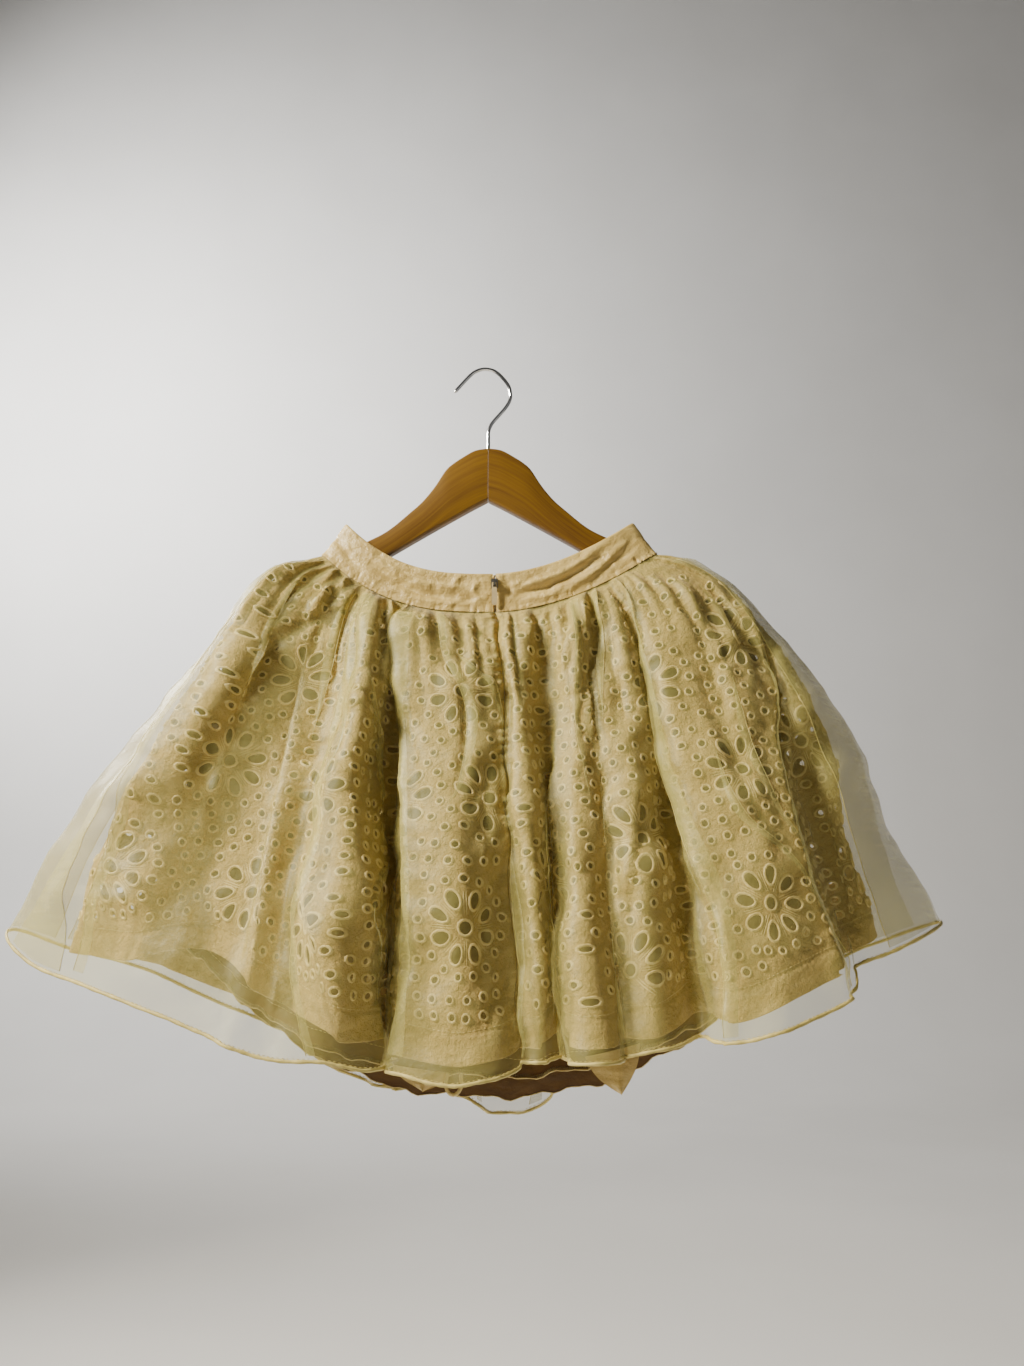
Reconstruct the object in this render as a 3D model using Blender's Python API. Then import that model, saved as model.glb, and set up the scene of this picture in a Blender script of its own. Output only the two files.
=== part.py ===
"""Lace mini skirt hanging on a wooden hanger, seen from its zipped back.

The back of the skirt faces -Y, the origin is the inner crown of the hanger's hook, +Z is up.
Every cloth layer follows one fold table: a row for each ridge or valley round the skirt.
"""
import math

import bmesh
import bpy
from mathutils import Vector
from mathutils.geometry import delaunay_2d_cdt

MM = 0.001

# Cloth walls and the distances between the layers, in millimetres
EYELET_WALL = 1.4
ORGANZA_WALL = 1.0
LINING_WALL = 1.0
BAND_WALL = 2.0
SEAM_GAP = 0.3
BAND_SEAM_GAP = 0.6
ORGANZA_OFFSET_TOP = 1.8
ORGANZA_OFFSET = 3.8
LINING_OFFSET_TOP = 1.7
# Levels over which the walls turn from upright to square with the cloth and take up their distance
TURN_LEVEL = 0.1
OFFSET_LEVEL = 0.07
OVER_POWER = 1.6

# Waist seam: a flat loop that sags between the arms of the hanger
WAIST_CENTRE_X = 5.5
WAIST_HALF_WIDTH = 151.5
WAIST_HALF_DEPTH = 13.0
WAIST_SQUARENESS = 5.0
SEAM_SIDE_LEFT_Z = -187.0
SEAM_SIDE_RIGHT_Z = -186.0
SEAM_NEAR_Z = -243.5
SEAM_FAR_Z = -256.0
SEAM_POWER_LEFT = 2.8
SEAM_POWER_RIGHT = 1.9
SEAM_POWER_FAR = 2.3
BAND_HEIGHT = 36.0
BAND_TOP_NARROWING = 0.867
ZIP_GAP_IN_BAND = 3.4
ZIP_GAP_BELOW = 1.6

# Levels down the skirt at which the fold table gives a width
LEVELS = (0.0, 0.11, 0.33, 0.67, 1.0)
DEPTH_SHARES = (0.0, 0.28, 0.50, 0.80, 1.0)
ROW_LEVELS = (0.0, 0.025, 0.06, 0.11, 0.22, 0.36, 0.51, 0.75, 1.0)
COLUMNS_PER_FOLD = 2
# The cloth first stands out from the waist seam and only then drops
PUFF_SHARE = 0.45
PUFF_LEVEL = 0.22

# Folds of the near side, from the left side round to the right, in millimetres.
# The over columns say how far the organza's hem stands off the lace's hem.
FOLD_COLUMNS = ("name", "waist_x", "shoulder_x", "hip_x", "thigh_x", "hem_x",
                "hem_y", "hem_z", "over_x", "over_y", "over_z")
NEAR_FOLDS = (
    ("side_left", -146.0, -207, -247, -315, -338, 0, -538, -50, 0, 17),
    ("left_round", -144.0, -203, -240, -302, -318, -30, -538, -40, -12, -8),
    ("left_ridge", -140.0, -183, -217, -256, -272, -68, -539, -20, -16, -22),
    ("left_valley", -132.0, -172, -196, -218, -224, -46, -532, 0, -56, -50),
    ("crease_ridge", -120.0, -145, -157, -168, -177, -86, -555, -6, -30, -42),
    ("crease_valley", -107.0, -118, -128, -145, -152, -60, -574, 4, -56, -33),
    ("centre_left_ridge", -94.0, -99, -103, -107, -108, -112, -592, 1, -14, -16),
    ("centre_left_edge", -80.0, -84, -85, -86, -80, -94, -597, 6, -17, -18),
    ("deep_valley", -72.0, -74, -73, -70, -67, -46, -597, 2, -14, -16),
    ("tail_edge", -63.0, -65, -60, -54, -53, -94, -607, -2, -12, -10),
    ("tail_ridge", -38.0, -32, -24, -15, -16, -118, -611, -5, -10, -12),
    ("tail_plateau", -12.0, -6, 2, 8, 13, -108, -608, -3, -10, -12),
    ("zip_groove", 11.0, 16, 20, 25, 32, -88, -602, 0, -12, -10),
    ("flap_ridge", 27.0, 30, 35, 42, 49, -98, -601, 2, -11, -9),
    ("flap_valley", 47.0, 51, 54, 58, 63, -62, -593, 0, -22, -15),
    ("right_ridge", 70.0, 73, 75, 78, 86, -98, -602, -1, -11, -9),
    ("shallow_valley", 90.0, 93, 97, 102, 110, -76, -596, -3, -14, -14),
    ("side_ridge", 105.0, 113, 122, 128, 134, -94, -594, 1, -10, -8),
    ("side_valley", 117.0, 132, 147, 162, 172, -52, -580, -6, -30, -15),
    ("puff_edge", 126.0, 146, 161, 180, 192, -94, -584, -5, -13, -13),
    ("puff_ridge", 137.0, 178, 204, 224, 228, -103, -570, -4, -14, -17),
    ("puff_right", 144.5, 194, 228, 254, 268, -76, -553, 1, -14, -17),
    ("end_valley", 149.5, 205, 246, 272, 287, -42, -539, 1, -20, -10),
    ("end_ridge", 154.0, 216, 262, 293, 308, -46, -530, 20, -12, -3),
    ("side_right", 157.0, 224, 276, 313, 330, 0, -523, 54, 0, 10),
)

# Folds of the far side, from the right side back to the left: ridges and valleys in turn
FAR_FOLDS = (
    ("far_1", 153.0, 213, 262, 298, 314, 24, -529, 28, 6, -3),
    ("far_2", 143.0, 190, 232, 262, 275, 15, -545, 6, 8, -10),
    ("far_3", 130.0, 165, 200, 228, 240, 32, -560, 2, 5, -14),
    ("far_4", 114.0, 138, 165, 190, 200, 16, -576, 0, 9, -14),
    ("far_5", 97.0, 114, 134, 154, 163, 36, -590, 0, 5, -14),
    ("far_6", 79.0, 92, 108, 120, 127, 17, -602, 0, 7, -14),
    ("far_7", 61.0, 70, 80, 88, 92, 38, -616, 0, 4, -16),
    ("far_8", 42.0, 48, 54, 58, 60, 18, -634, 0, 6, -20),
    ("far_9", 22.0, 24, 24, 24, 24, 40, -648, 0, 4, -27),
    ("far_10", 2.0, 1, -1, -4, -6, 19, -641, 0, 6, -20),
    ("far_11", -19.0, -24, -30, -36, -40, 38, -636, 0, 4, -18),
    ("far_12", -40.0, -48, -58, -68, -74, 17, -633, 0, 6, -18),
    ("far_13", -61.0, -74, -90, -104, -110, 36, -626, 0, 5, -18),
    ("far_14", -82.0, -100, -122, -140, -148, 16, -604, 0, 8, -14),
    ("far_15", -101.0, -126, -156, -180, -192, 34, -582, 0, 6, -14),
    ("far_16", -118.0, -150, -188, -218, -232, 16, -564, -3, 8, -12),
    ("far_17", -132.0, -176, -216, -256, -276, 28, -548, -12, 6, -6),
    ("far_18", -142.0, -198, -238, -296, -320, 20, -541, -34, 5, 4),
)

# Lining: a narrower plain skirt, as rings at the same levels below the waist seam
LINING_COLUMNS = ("level", "left_x", "right_x", "near_y", "far_y", "near_z", "side_z", "far_z", "square")
LINING_RINGS = (
    (0.055, -178.5, 191, -15, 11.0, -262, -203, -276, 5),
    (0.11, -204.5, 220.5, -16.5, 11.5, -281, -223, -294, 5),
    (0.33, -232, 246, -19, 9.5, -368, -292, -382, 4),
    (0.67, -258, 272, -25, 9.5, -498, -402, -516, 3),
    (1.0, -272, 286, -31, 10.0, -632, -500, -653, 3),
)
LINING_ROW_LEVELS = (0.0, 0.025, 0.06, 0.11, 0.25, 0.51, 0.75, 1.0)
LINING_WAVE = 1.8
LINING_WAVES = 7
LINING_ZIP_ROOM = 1.4
LINING_ZIP_REACH = 12.0
LINING_SAG_POWER = 2.4
# Where the waist turns at its sides, as the cosine of the angle round it
SIDE_TURN = 0.85

# Lace flowers: a ring of teardrop petals, eight to a flower
PETALS = 8
PETAL_INNER_RADIUS = 14.5
PETAL_LENGTH = 14.0
PETAL_WIDTH = 9.0
PETAL_WIDEST_AT = 0.52
PETAL_END_WIDTH = 0.54
# Flower centres on the near side: fold number from the left side, share of the drop
NEAR_FLOWERS = (
    (1.5, 0.80), (3.0, 0.54), (3.6, 0.83), (4.0, 0.28), (5.4, 0.52), (5.5, 0.81), (7.8, 0.74),
    (8.8, 0.49), (10.2, 0.74), (10.4, 0.22), (11.2, 0.47), (13.8, 0.68), (16.5, 0.87), (17.1, 0.61),
    (18.3, 0.29), (19.9, 0.51), (20.0, 0.80), (21.3, 0.22), (22.5, 0.50), (23.6, 0.81),
)
FAR_FLOWER_LEVELS = (0.26, 0.50, 0.76)
FAR_FLOWERS_PER_LEVEL = (2, 3, 4)
FAR_FLOWER_MARGIN = 0.12
LOWEST_CUT = 0.925
HIGHEST_CUT = 0.07
PANEL_MARGIN = 0.12
# The drop is about as long as this many folds are wide, which keeps the facets even
FOLDS_PER_DROP = 12.0

# Wooden hanger: outline of one half, as distance from the centre and height
HANGER_CENTRE_X = 3.8
HANGER_THICKNESS = 11.0
HANGER_EDGE_ROUND = 2.0
HANGER_TILT = math.radians(0.8)
HANGER_TOP_EDGE = (
    (0.0, -81.3), (12.0, -83.2), (23.0, -89.5), (33.0, -96.5), (40.0, -103.5), (49.0, -118.5),
    (60.0, -133.0), (72.0, -144.5), (91.0, -161.0), (110.0, -171.5), (150.0, -190.5),
    (180.0, -204.5), (194.0, -212.0), (202.0, -219.5),
)
HANGER_BOTTOM_EDGE = (
    (204.5, -228.0), (202.0, -236.0), (195.0, -240.0), (180.0, -234.0), (150.0, -219.0),
    (110.0, -197.5), (60.0, -167.5), (20.0, -144.0), (0.0, -133.0),
)

# Hook: chrome wire from the wood over the crown to its free end, as x and z
HOOK_WIRE = 3.4
HOOK_PATH = (
    (3.8, -80.9), (3.8, -70.0), (4.0, -62.5), (6.9, -54.9), (13.0, -47.0), (19.0, -39.6),
    (23.4, -32.0), (24.6, -25.0), (22.6, -15.6), (15.0, -5.2), (8.0, 0.2), (0.0, 1.7),
    (-7.0, 0.0), (-13.0, -4.2), (-21.3, -13.7), (-28.7, -22.7),
)
HOOK_POINTS_PER_SPAN = 2

# Zip slider and pull, standing on the outer face of the waistband
SLIDER_X = 10.3
PULL_AXIS_Z = -217.0
SLIDER_PLATE = (6.0, 1.6, 9.0)
BRIDGE_WIDTH = 1.6
BRIDGE_HEIGHT = 5.4
BRIDGE_LEG = 1.1
BRIDGE_REACH = 3.4
BRIDGE_STRAP = 1.0
BRIDGE_SINK = 0.2
PULL_BAR = 0.9
PULL_WINDOW = 4.1
PULL_CHEEK_INNER = 1.25
PULL_CHEEK_OUTER = 2.3
PULL_LENGTH = 21.0
PULL_THICKNESS = 0.8
PULL_END_RADIUS = 2.4
ZIP_STRIP_WIDTH = 5.0
ZIP_STRIP_THICKNESS = 1.0
ZIP_STRIP_CLEARANCE = 0.5
ZIP_END_LEVEL = 0.51
ZIP_BAND_SHARES = (0.97, 0.5, 0.0)
SHARP_ANGLE = math.radians(50)

COLOURS = {
    "wood": (0.42, 0.19, 0.06, 1.0),
    "chrome": (0.62, 0.62, 0.62, 1.0),
    "satin": (0.72, 0.63, 0.42, 1.0),
    "eyelet": (0.74, 0.67, 0.45, 1.0),
    "organza": (0.72, 0.72, 0.45, 1.0),
    "lining": (0.50, 0.36, 0.17, 1.0),
    "metal": (0.55, 0.55, 0.52, 1.0),
}


def table(columns, rows):
    """Rows of a table as dictionaries by column name."""
    return [dict(zip(columns, row)) for row in rows]


FOLDS = table(FOLD_COLUMNS, NEAR_FOLDS + FAR_FOLDS)
NEAR_COUNT = len(NEAR_FOLDS)
FOLD_COUNT = len(FOLDS)
SIDE_LEFT = 0
SIDE_RIGHT = NEAR_COUNT - 1
ZIP_FOLD = [fold["name"] for fold in FOLDS].index("zip_groove")


def smoothstep(value):
    value = min(max(value, 0.0), 1.0)
    return value * value * (3.0 - 2.0 * value)


def hermite(knots, values, at):
    """Smooth curve through values at the knots, evaluated at one place."""
    last = len(knots) - 1
    span = 0
    while span < last - 1 and at > knots[span + 1]:
        span += 1

    def slope(index):
        low = max(index - 1, 0)
        high = min(index + 1, last)
        return (values[high] - values[low]) / (knots[high] - knots[low])

    width = knots[span + 1] - knots[span]
    share = (at - knots[span]) / width
    square = share * share
    cube = square * share
    return ((2 * cube - 3 * square + 1) * values[span]
            + (cube - 2 * square + share) * width * slope(span)
            + (3 * square - 2 * cube) * values[span + 1]
            + (cube - square) * width * slope(span + 1))


def around(value_of_fold, place):
    """Closed Catmull-Rom curve through one value for each fold."""
    index = math.floor(place)
    share = place - index
    a, b, c, d = (value_of_fold((index + step) % FOLD_COUNT) for step in (-1, 0, 1, 2))
    return 0.5 * (2 * b + (c - a) * share + (2 * a - 5 * b + 4 * c - d) * share ** 2
                  + (3 * b - a - 3 * c + d) * share ** 3)


def drop_share(level):
    """Share of the whole drop reached at a level, slow at first where the gathers puff out."""
    slow = max(1.0 - level / PUFF_LEVEL, 0.0)
    return level * (1.0 - PUFF_SHARE * slow * slow)


def waist_turn(index):
    """Angle round the waist loop at which a fold is gathered."""
    across = (FOLDS[index]["waist_x"] - WAIST_CENTRE_X) / WAIST_HALF_WIDTH
    across = min(max(across, -1.0), 1.0)
    angle = math.acos(-across)
    return angle if index <= SIDE_RIGHT else 2.0 * math.pi - angle


def waist_angle(place):
    """Angle round the waist loop for any place among the folds, rising all the way round."""
    index = math.floor(place)
    share = place - index

    def turn(step):
        laps, fold = divmod(index + step, FOLD_COUNT)
        return waist_turn(fold) + 2.0 * math.pi * laps

    return turn(0) + (turn(1) - turn(0)) * share


def waist_loop(angle):
    """Point and outward direction on the waist seam, before the sag in height."""
    across = -math.cos(angle)
    near = math.sin(angle) >= 0.0
    reach = (1.0 - min(abs(across), 1.0) ** WAIST_SQUARENESS) ** (1.0 / WAIST_SQUARENESS)
    y = -WAIST_HALF_DEPTH * reach if near else WAIST_HALF_DEPTH * reach
    side_z = SEAM_SIDE_LEFT_Z if across < 0.0 else SEAM_SIDE_RIGHT_Z
    if near:
        power = SEAM_POWER_LEFT if across < 0.0 else SEAM_POWER_RIGHT
        z = SEAM_NEAR_Z + (side_z - SEAM_NEAR_Z) * abs(across) ** power
    else:
        z = SEAM_FAR_Z + (side_z - SEAM_FAR_Z) * abs(across) ** SEAM_POWER_FAR
    steep = WAIST_SQUARENESS - 1.0
    x_out = math.copysign(abs(across) ** steep / WAIST_HALF_WIDTH, across)
    y_out = math.copysign((abs(y) / WAIST_HALF_DEPTH) ** steep / WAIST_HALF_DEPTH, y)
    out = Vector((x_out, y_out, 0.0)).normalized()
    return Vector((WAIST_CENTRE_X + WAIST_HALF_WIDTH * across, y, z)), out


def lace_point(place, level):
    """Middle of the lace wall at a place among the folds and a share of the drop."""
    waist, _ = waist_loop(waist_angle(place))
    widths = [waist.x]
    for column in ("shoulder_x", "hip_x", "thigh_x", "hem_x"):
        widths.append(around(lambda fold: FOLDS[fold][column], place))
    hem_y = around(lambda fold: FOLDS[fold]["hem_y"], place)
    hem_z = around(lambda fold: FOLDS[fold]["hem_z"], place)
    depths = [waist.y + (hem_y - waist.y) * share for share in DEPTH_SHARES]
    return Vector((hermite(LEVELS, widths, level), hermite(LEVELS, depths, level),
                   waist.z + (hem_z - waist.z) * drop_share(level)))


def lace_normal(place, level):
    """Outward direction, level at the waist seam and square to the cloth below it."""
    step_place = 0.25
    step_level = 0.02
    low = max(level - step_level, 0.0)
    high = min(level + step_level, 1.0)
    along = lace_point(place + step_place, level) - lace_point(place - step_place, level)
    down = lace_point(place, high) - lace_point(place, low)
    _, out = waist_loop(waist_angle(place))
    blend = smoothstep(level / TURN_LEVEL)
    return (out * (1.0 - blend) + down.cross(along).normalized() * blend).normalized()


def organza_shift(place, level):
    """How far the organza stands off the lace: close at the waist, wide at the hem."""
    over = Vector([around(lambda fold: FOLDS[fold][column], place)
                   for column in ("over_x", "over_y", "over_z")])
    offset = ORGANZA_OFFSET_TOP + (ORGANZA_OFFSET - ORGANZA_OFFSET_TOP) * smoothstep(level / OFFSET_LEVEL)
    return lace_normal(place, level) * offset + over * level ** OVER_POWER


def lining_point(angle, level):
    """Middle of the lining wall at an angle round the waist and a share of the drop."""
    waist, out = waist_loop(angle)
    from_zip = (angle - waist_angle(ZIP_FOLD)) * WAIST_HALF_WIDTH
    room = LINING_ZIP_ROOM * math.exp(-(from_zip / LINING_ZIP_REACH) ** 2)
    waist = waist - out * (LINING_OFFSET_TOP + room)
    across = -math.cos(angle)
    near = math.sin(angle) >= 0.0
    knots, points = [0.0], [waist]
    for ring in table(LINING_COLUMNS, LINING_RINGS):
        middle_x = 0.5 * (ring["left_x"] + ring["right_x"])
        half_width = 0.5 * (ring["right_x"] - ring["left_x"])
        square = ring["square"]
        reach = (1.0 - min(abs(across), 1.0) ** square) ** (1.0 / square)
        wave = LINING_WAVE * ring["level"] * math.sin(LINING_WAVES * angle) * reach
        y = (ring["near_y"] if near else ring["far_y"]) * reach - wave
        middle_z = ring["near_z"] if near else ring["far_z"]
        z = middle_z + (ring["side_z"] - middle_z) * abs(across) ** LINING_SAG_POWER
        knots.append(ring["level"])
        points.append(Vector((middle_x + half_width * across, y, z)))
    return Vector([hermite(knots, [point[axis] for point in points], level) for axis in range(3)])


def material(name, colour, roughness, metallic=0.0):
    if name in bpy.data.materials:
        return bpy.data.materials[name]
    result = bpy.data.materials.new(name)
    result.use_nodes = True
    shader = result.node_tree.nodes["Principled BSDF"]
    shader.inputs["Base Color"].default_value = colour
    shader.inputs["Roughness"].default_value = roughness
    shader.inputs["Metallic"].default_value = metallic
    return result


def add_object(name, points, faces, surface, smooth=True):
    """Object from points in millimetres."""
    mesh = bpy.data.meshes.new(name)
    mesh.from_pydata([point * MM for point in points], [], faces)
    mesh.validate()
    shape = bmesh.new()
    shape.from_mesh(mesh)
    bmesh.ops.recalc_face_normals(shape, faces=shape.faces)
    shape.to_mesh(mesh)
    shape.free()
    if smooth:
        mesh.shade_smooth()
        mesh.set_sharp_from_angle(angle=SHARP_ANGLE)
    mesh.materials.append(surface)
    result = bpy.data.objects.new(name, mesh)
    bpy.context.scene.collection.objects.link(result)
    return result


def close_wall(outer, inner, triangles):
    """Closed wall from matching outer and inner points and the outer triangles."""
    count = len(outer)
    faces = [tuple(face) for face in triangles]
    faces += [tuple(count + index for index in reversed(face)) for face in triangles]
    edges = {}
    for face in triangles:
        for start, end in zip(face, face[1:] + face[:1]):
            edges[(start, end)] = True
    for start, end in edges:
        if (end, start) not in edges:
            faces.append((end, start, count + start))
            faces.append((end, count + start, count + end))
    return list(outer) + list(inner), faces


def grid_wall(name, columns, rows, point_at, surface):
    """Closed wall over a grid; point_at gives the outer and inner point at a column and row."""
    outer, inner = [], []
    for column in columns:
        for row in rows:
            out_point, in_point = point_at(column, row)
            outer.append(out_point)
            inner.append(in_point)
    height = len(rows)
    triangles = []
    for i in range(len(columns) - 1):
        for j in range(height - 1):
            a = i * height + j
            b = a + height
            triangles.append([a, a + 1, b + 1])
            triangles.append([a, b + 1, b])
    points, faces = close_wall(outer, inner, triangles)
    return add_object(name, points, faces, surface)


def panel_columns(start, end, gap_start, gap_end):
    """Places of the columns of a panel, trimmed by a gap in millimetres at each seam."""
    def trimmed(place, direction, gap):
        pitch = (lace_point(place + 0.1 * direction, 0.0) - lace_point(place, 0.0)).length / 0.1
        return place + direction * gap / pitch

    count = round((end - start) * COLUMNS_PER_FOLD)
    places = [start + (end - start) * index / count for index in range(count + 1)]
    places[0] = trimmed(start, 1, gap_start)
    places[-1] = trimmed(end, -1, gap_end)
    return places


class GridSurface:
    """Lace wall sampled on the columns and rows, with points read from its facets."""

    def __init__(self, columns, rows):
        self.columns = columns
        self.rows = rows
        self.outer = []
        self.inner = []
        for column in columns:
            middle = [lace_point(column, row) for row in rows]
            out = [lace_normal(column, row) for row in rows]
            half = 0.5 * EYELET_WALL
            self.outer.append([m + n * half for m, n in zip(middle, out)])
            self.inner.append([m - n * half for m, n in zip(middle, out)])

    def locate(self, values, value):
        index = 0
        while index < len(values) - 2 and value > values[index + 1]:
            index += 1
        return index, (value - values[index]) / (values[index + 1] - values[index])

    def pair(self, place, level):
        i, a = self.locate(self.columns, place)
        j, b = self.locate(self.rows, level)
        result = []
        for side in (self.outer, self.inner):
            top = side[i][j].lerp(side[i + 1][j], a)
            bottom = side[i][j + 1].lerp(side[i + 1][j + 1], a)
            result.append(top.lerp(bottom, b))
        return result

    def pitch(self, place, level):
        """Millimetres of cloth for one fold place and for the whole drop."""
        step = 0.5
        low = max(place - step, self.columns[0])
        high = min(place + step, self.columns[-1])
        width = 0.0
        pieces = 8
        last = self.pair(low, level)[0]
        for index in range(1, pieces + 1):
            point = self.pair(low + (high - low) * index / pieces, level)[0]
            width += (point - last).length
            last = point
        top, bottom = max(level - 0.1, 0.0), min(level + 0.1, 1.0)
        drop = (self.pair(place, bottom)[0] - self.pair(place, top)[0]).length
        return width / (high - low), drop / (bottom - top)


def petal_outline():
    """Teardrop of five points, its tip towards the flower's centre."""
    belly = 0.5 * PETAL_WIDTH
    end = belly * PETAL_END_WIDTH
    widest = PETAL_WIDEST_AT * PETAL_LENGTH
    return ((0.0, 0.0), (belly, widest), (end, PETAL_LENGTH), (-end, PETAL_LENGTH), (-belly, widest))


def flower_holes(surface, place, level):
    """Petal outlines of one flower in fold places and shares of the drop."""
    per_place, per_drop = surface.pitch(place, level)
    holes = []
    for petal in range(PETALS):
        turn = 2.0 * math.pi * (petal + 0.5) / PETALS
        hole = []
        for sideways, outward in petal_outline():
            reach = PETAL_INNER_RADIUS + outward
            x = reach * math.sin(turn) + sideways * math.cos(turn)
            y = reach * math.cos(turn) - sideways * math.sin(turn)
            hole.append((place + x / per_place, level + y / per_drop))
        low, high = surface.columns[0] + PANEL_MARGIN, surface.columns[-1] - PANEL_MARGIN
        inside = all(low < u < high and HIGHEST_CUT < v < LOWEST_CUT for u, v in hole)
        if inside:
            holes.append(hole)
    return holes


def inside_outline(outline, x, y):
    result = False
    for (ax, ay), (bx, by) in zip(outline, outline[1:] + outline[:1]):
        if (ay > y) != (by > y) and x < (bx - ax) * (y - ay) / (by - ay) + ax:
            result = not result
    return result


def cell_has_hole(holes, columns, rows):
    """Whether a hole's box reaches into the cell between two columns and two rows."""
    for hole in holes:
        us = [u for u, _ in hole]
        vs = [v for _, v in hole]
        if min(us) < columns[1] and max(us) > columns[0] and min(vs) < rows[1] and max(vs) > rows[0]:
            return True
    return False


def lace_panel(name, start, end, gap_start, gap_end, flowers, surface):
    """Panel of the lace with its petals cut through."""
    columns = panel_columns(start, end, gap_start, gap_end)
    rows = list(ROW_LEVELS)
    cloth = GridSurface(columns, rows)
    holes = [hole for flower in flowers for hole in flower_holes(cloth, *flower)]
    points, edges = [], []
    for column in columns:
        for row in rows:
            points.append(Vector((column, row * FOLDS_PER_DROP)))
    height = len(rows)
    for i in range(len(columns)):
        for j in range(height - 1):
            a = i * height + j
            edges.append((a, a + 1))
            if i + 1 < len(columns) and not cell_has_hole(holes, columns[i:i + 2], rows[j:j + 2]):
                edges.append((a, a + height + 1))
    for hole in holes:
        first = len(points)
        points += [Vector((u, v * FOLDS_PER_DROP)) for u, v in hole]
        edges += [(first + k, first + (k + 1) % len(hole)) for k in range(len(hole))]
    flat, _, triangles, *_ = delaunay_2d_cdt(points, edges, [], 0, 1e-6)
    places = [(point.x, point.y / FOLDS_PER_DROP) for point in flat]
    kept = []
    for face in triangles:
        u = sum(places[index][0] for index in face) / 3.0
        v = sum(places[index][1] for index in face) / 3.0
        if not any(inside_outline(hole, u, v) for hole in holes):
            kept.append(list(face))
    used = sorted({index for face in kept for index in face})
    order = {old: new for new, old in enumerate(used)}
    kept = [[order[index] for index in reversed(face)] for face in kept]
    pairs = [cloth.pair(*places[index]) for index in used]
    outer = [pair[0] for pair in pairs]
    inner = [pair[1] for pair in pairs]
    points, faces = close_wall(outer, inner, kept)
    return add_object(name, points, faces, surface)


def organza_panel(name, start, end, gap_start, gap_end, surface):
    def point_at(place, level):
        out = lace_normal(place, level)
        middle = lace_point(place, level) + organza_shift(place, level)
        half = 0.5 * ORGANZA_WALL
        return middle + out * half, middle - out * half

    return grid_wall(name, panel_columns(start, end, gap_start, gap_end), ROW_LEVELS, point_at, surface)


def lining_columns(start, end):
    """Places of the lining's columns: one for each fold, two where the waist turns at its sides."""
    seam = 0.5 * SEAM_GAP
    places = panel_columns(start, end, seam, seam)
    return [place for index, place in enumerate(places)
            if index % COLUMNS_PER_FOLD == 0 or abs(math.cos(waist_angle(place))) > SIDE_TURN]


def lining_panel(name, start, end, surface):
    """Panel of the lining between two folds of the waist."""
    angles = [waist_angle(place) for place in lining_columns(start, end)]

    def point_at(angle, level):
        step = 0.04
        along = lining_point(angle + step, level) - lining_point(angle - step, level)
        down = lining_point(angle, min(level + 0.02, 1.0)) - lining_point(angle, max(level - 0.02, 0.0))
        _, level_out = waist_loop(angle)
        blend = smoothstep(level / TURN_LEVEL)
        out = level_out * (1.0 - blend) + down.cross(along).normalized() * blend
        out.normalize()
        middle = lining_point(angle, level)
        half = 0.5 * LINING_WALL
        return middle + out * half, middle - out * half

    return grid_wall(name, angles, LINING_ROW_LEVELS, point_at, surface)


def band_point(angle, share):
    """Middle of the waistband at an angle round the waist and a share of its height."""
    low, out = waist_loop(angle)
    shift = (BAND_TOP_NARROWING - 1.0) * (low.x - WAIST_CENTRE_X)
    rise = math.sqrt(BAND_HEIGHT ** 2 - shift ** 2)
    return low + Vector((shift * share, 0.0, BAND_SEAM_GAP + rise * share)), out


def band_panel(name, start, end, gap_start, gap_end, surface):
    """Piece of the waistband between two folds of the waist."""
    def point_at(place, share):
        middle, out = band_point(waist_angle(place), share)
        half = 0.5 * BAND_WALL
        return middle + out * half, middle - out * half

    columns = panel_columns(start, end, gap_start, gap_end)
    return grid_wall(name, columns, (1.0, 0.5, 0.0), point_at, surface)


def smooth_path(points, per_span):
    """Points along a Catmull-Rom curve through a list of points."""
    path = []
    for index in range(len(points) - 1):
        a = points[max(index - 1, 0)]
        b, c = points[index], points[index + 1]
        d = points[min(index + 2, len(points) - 1)]
        for step in range(per_span):
            s = step / per_span
            path.append(0.5 * (2 * b + (c - a) * s + (2 * a - 5 * b + 4 * c - d) * s ** 2
                               + (3 * b - a - 3 * c + d) * s ** 3))
    path.append(points[-1])
    return path


def build_hook(surface):
    """Chrome wire of the hook as a round tube with closed ends."""
    points = [Vector((x, 0.0, z)) for x, z in HOOK_PATH]
    curve = bpy.data.curves.new("hanger_hook", "CURVE")
    curve.dimensions = "3D"
    curve.bevel_depth = 0.5 * HOOK_WIRE * MM
    curve.bevel_resolution = 2
    curve.use_fill_caps = True
    path = smooth_path(points, HOOK_POINTS_PER_SPAN)
    spline = curve.splines.new("POLY")
    spline.points.add(len(path) - 1)
    for target, point in zip(spline.points, path):
        target.co = (*(point * MM), 1.0)
    curve.materials.append(surface)
    result = bpy.data.objects.new("hanger_hook", curve)
    bpy.context.scene.collection.objects.link(result)
    return result


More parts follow.
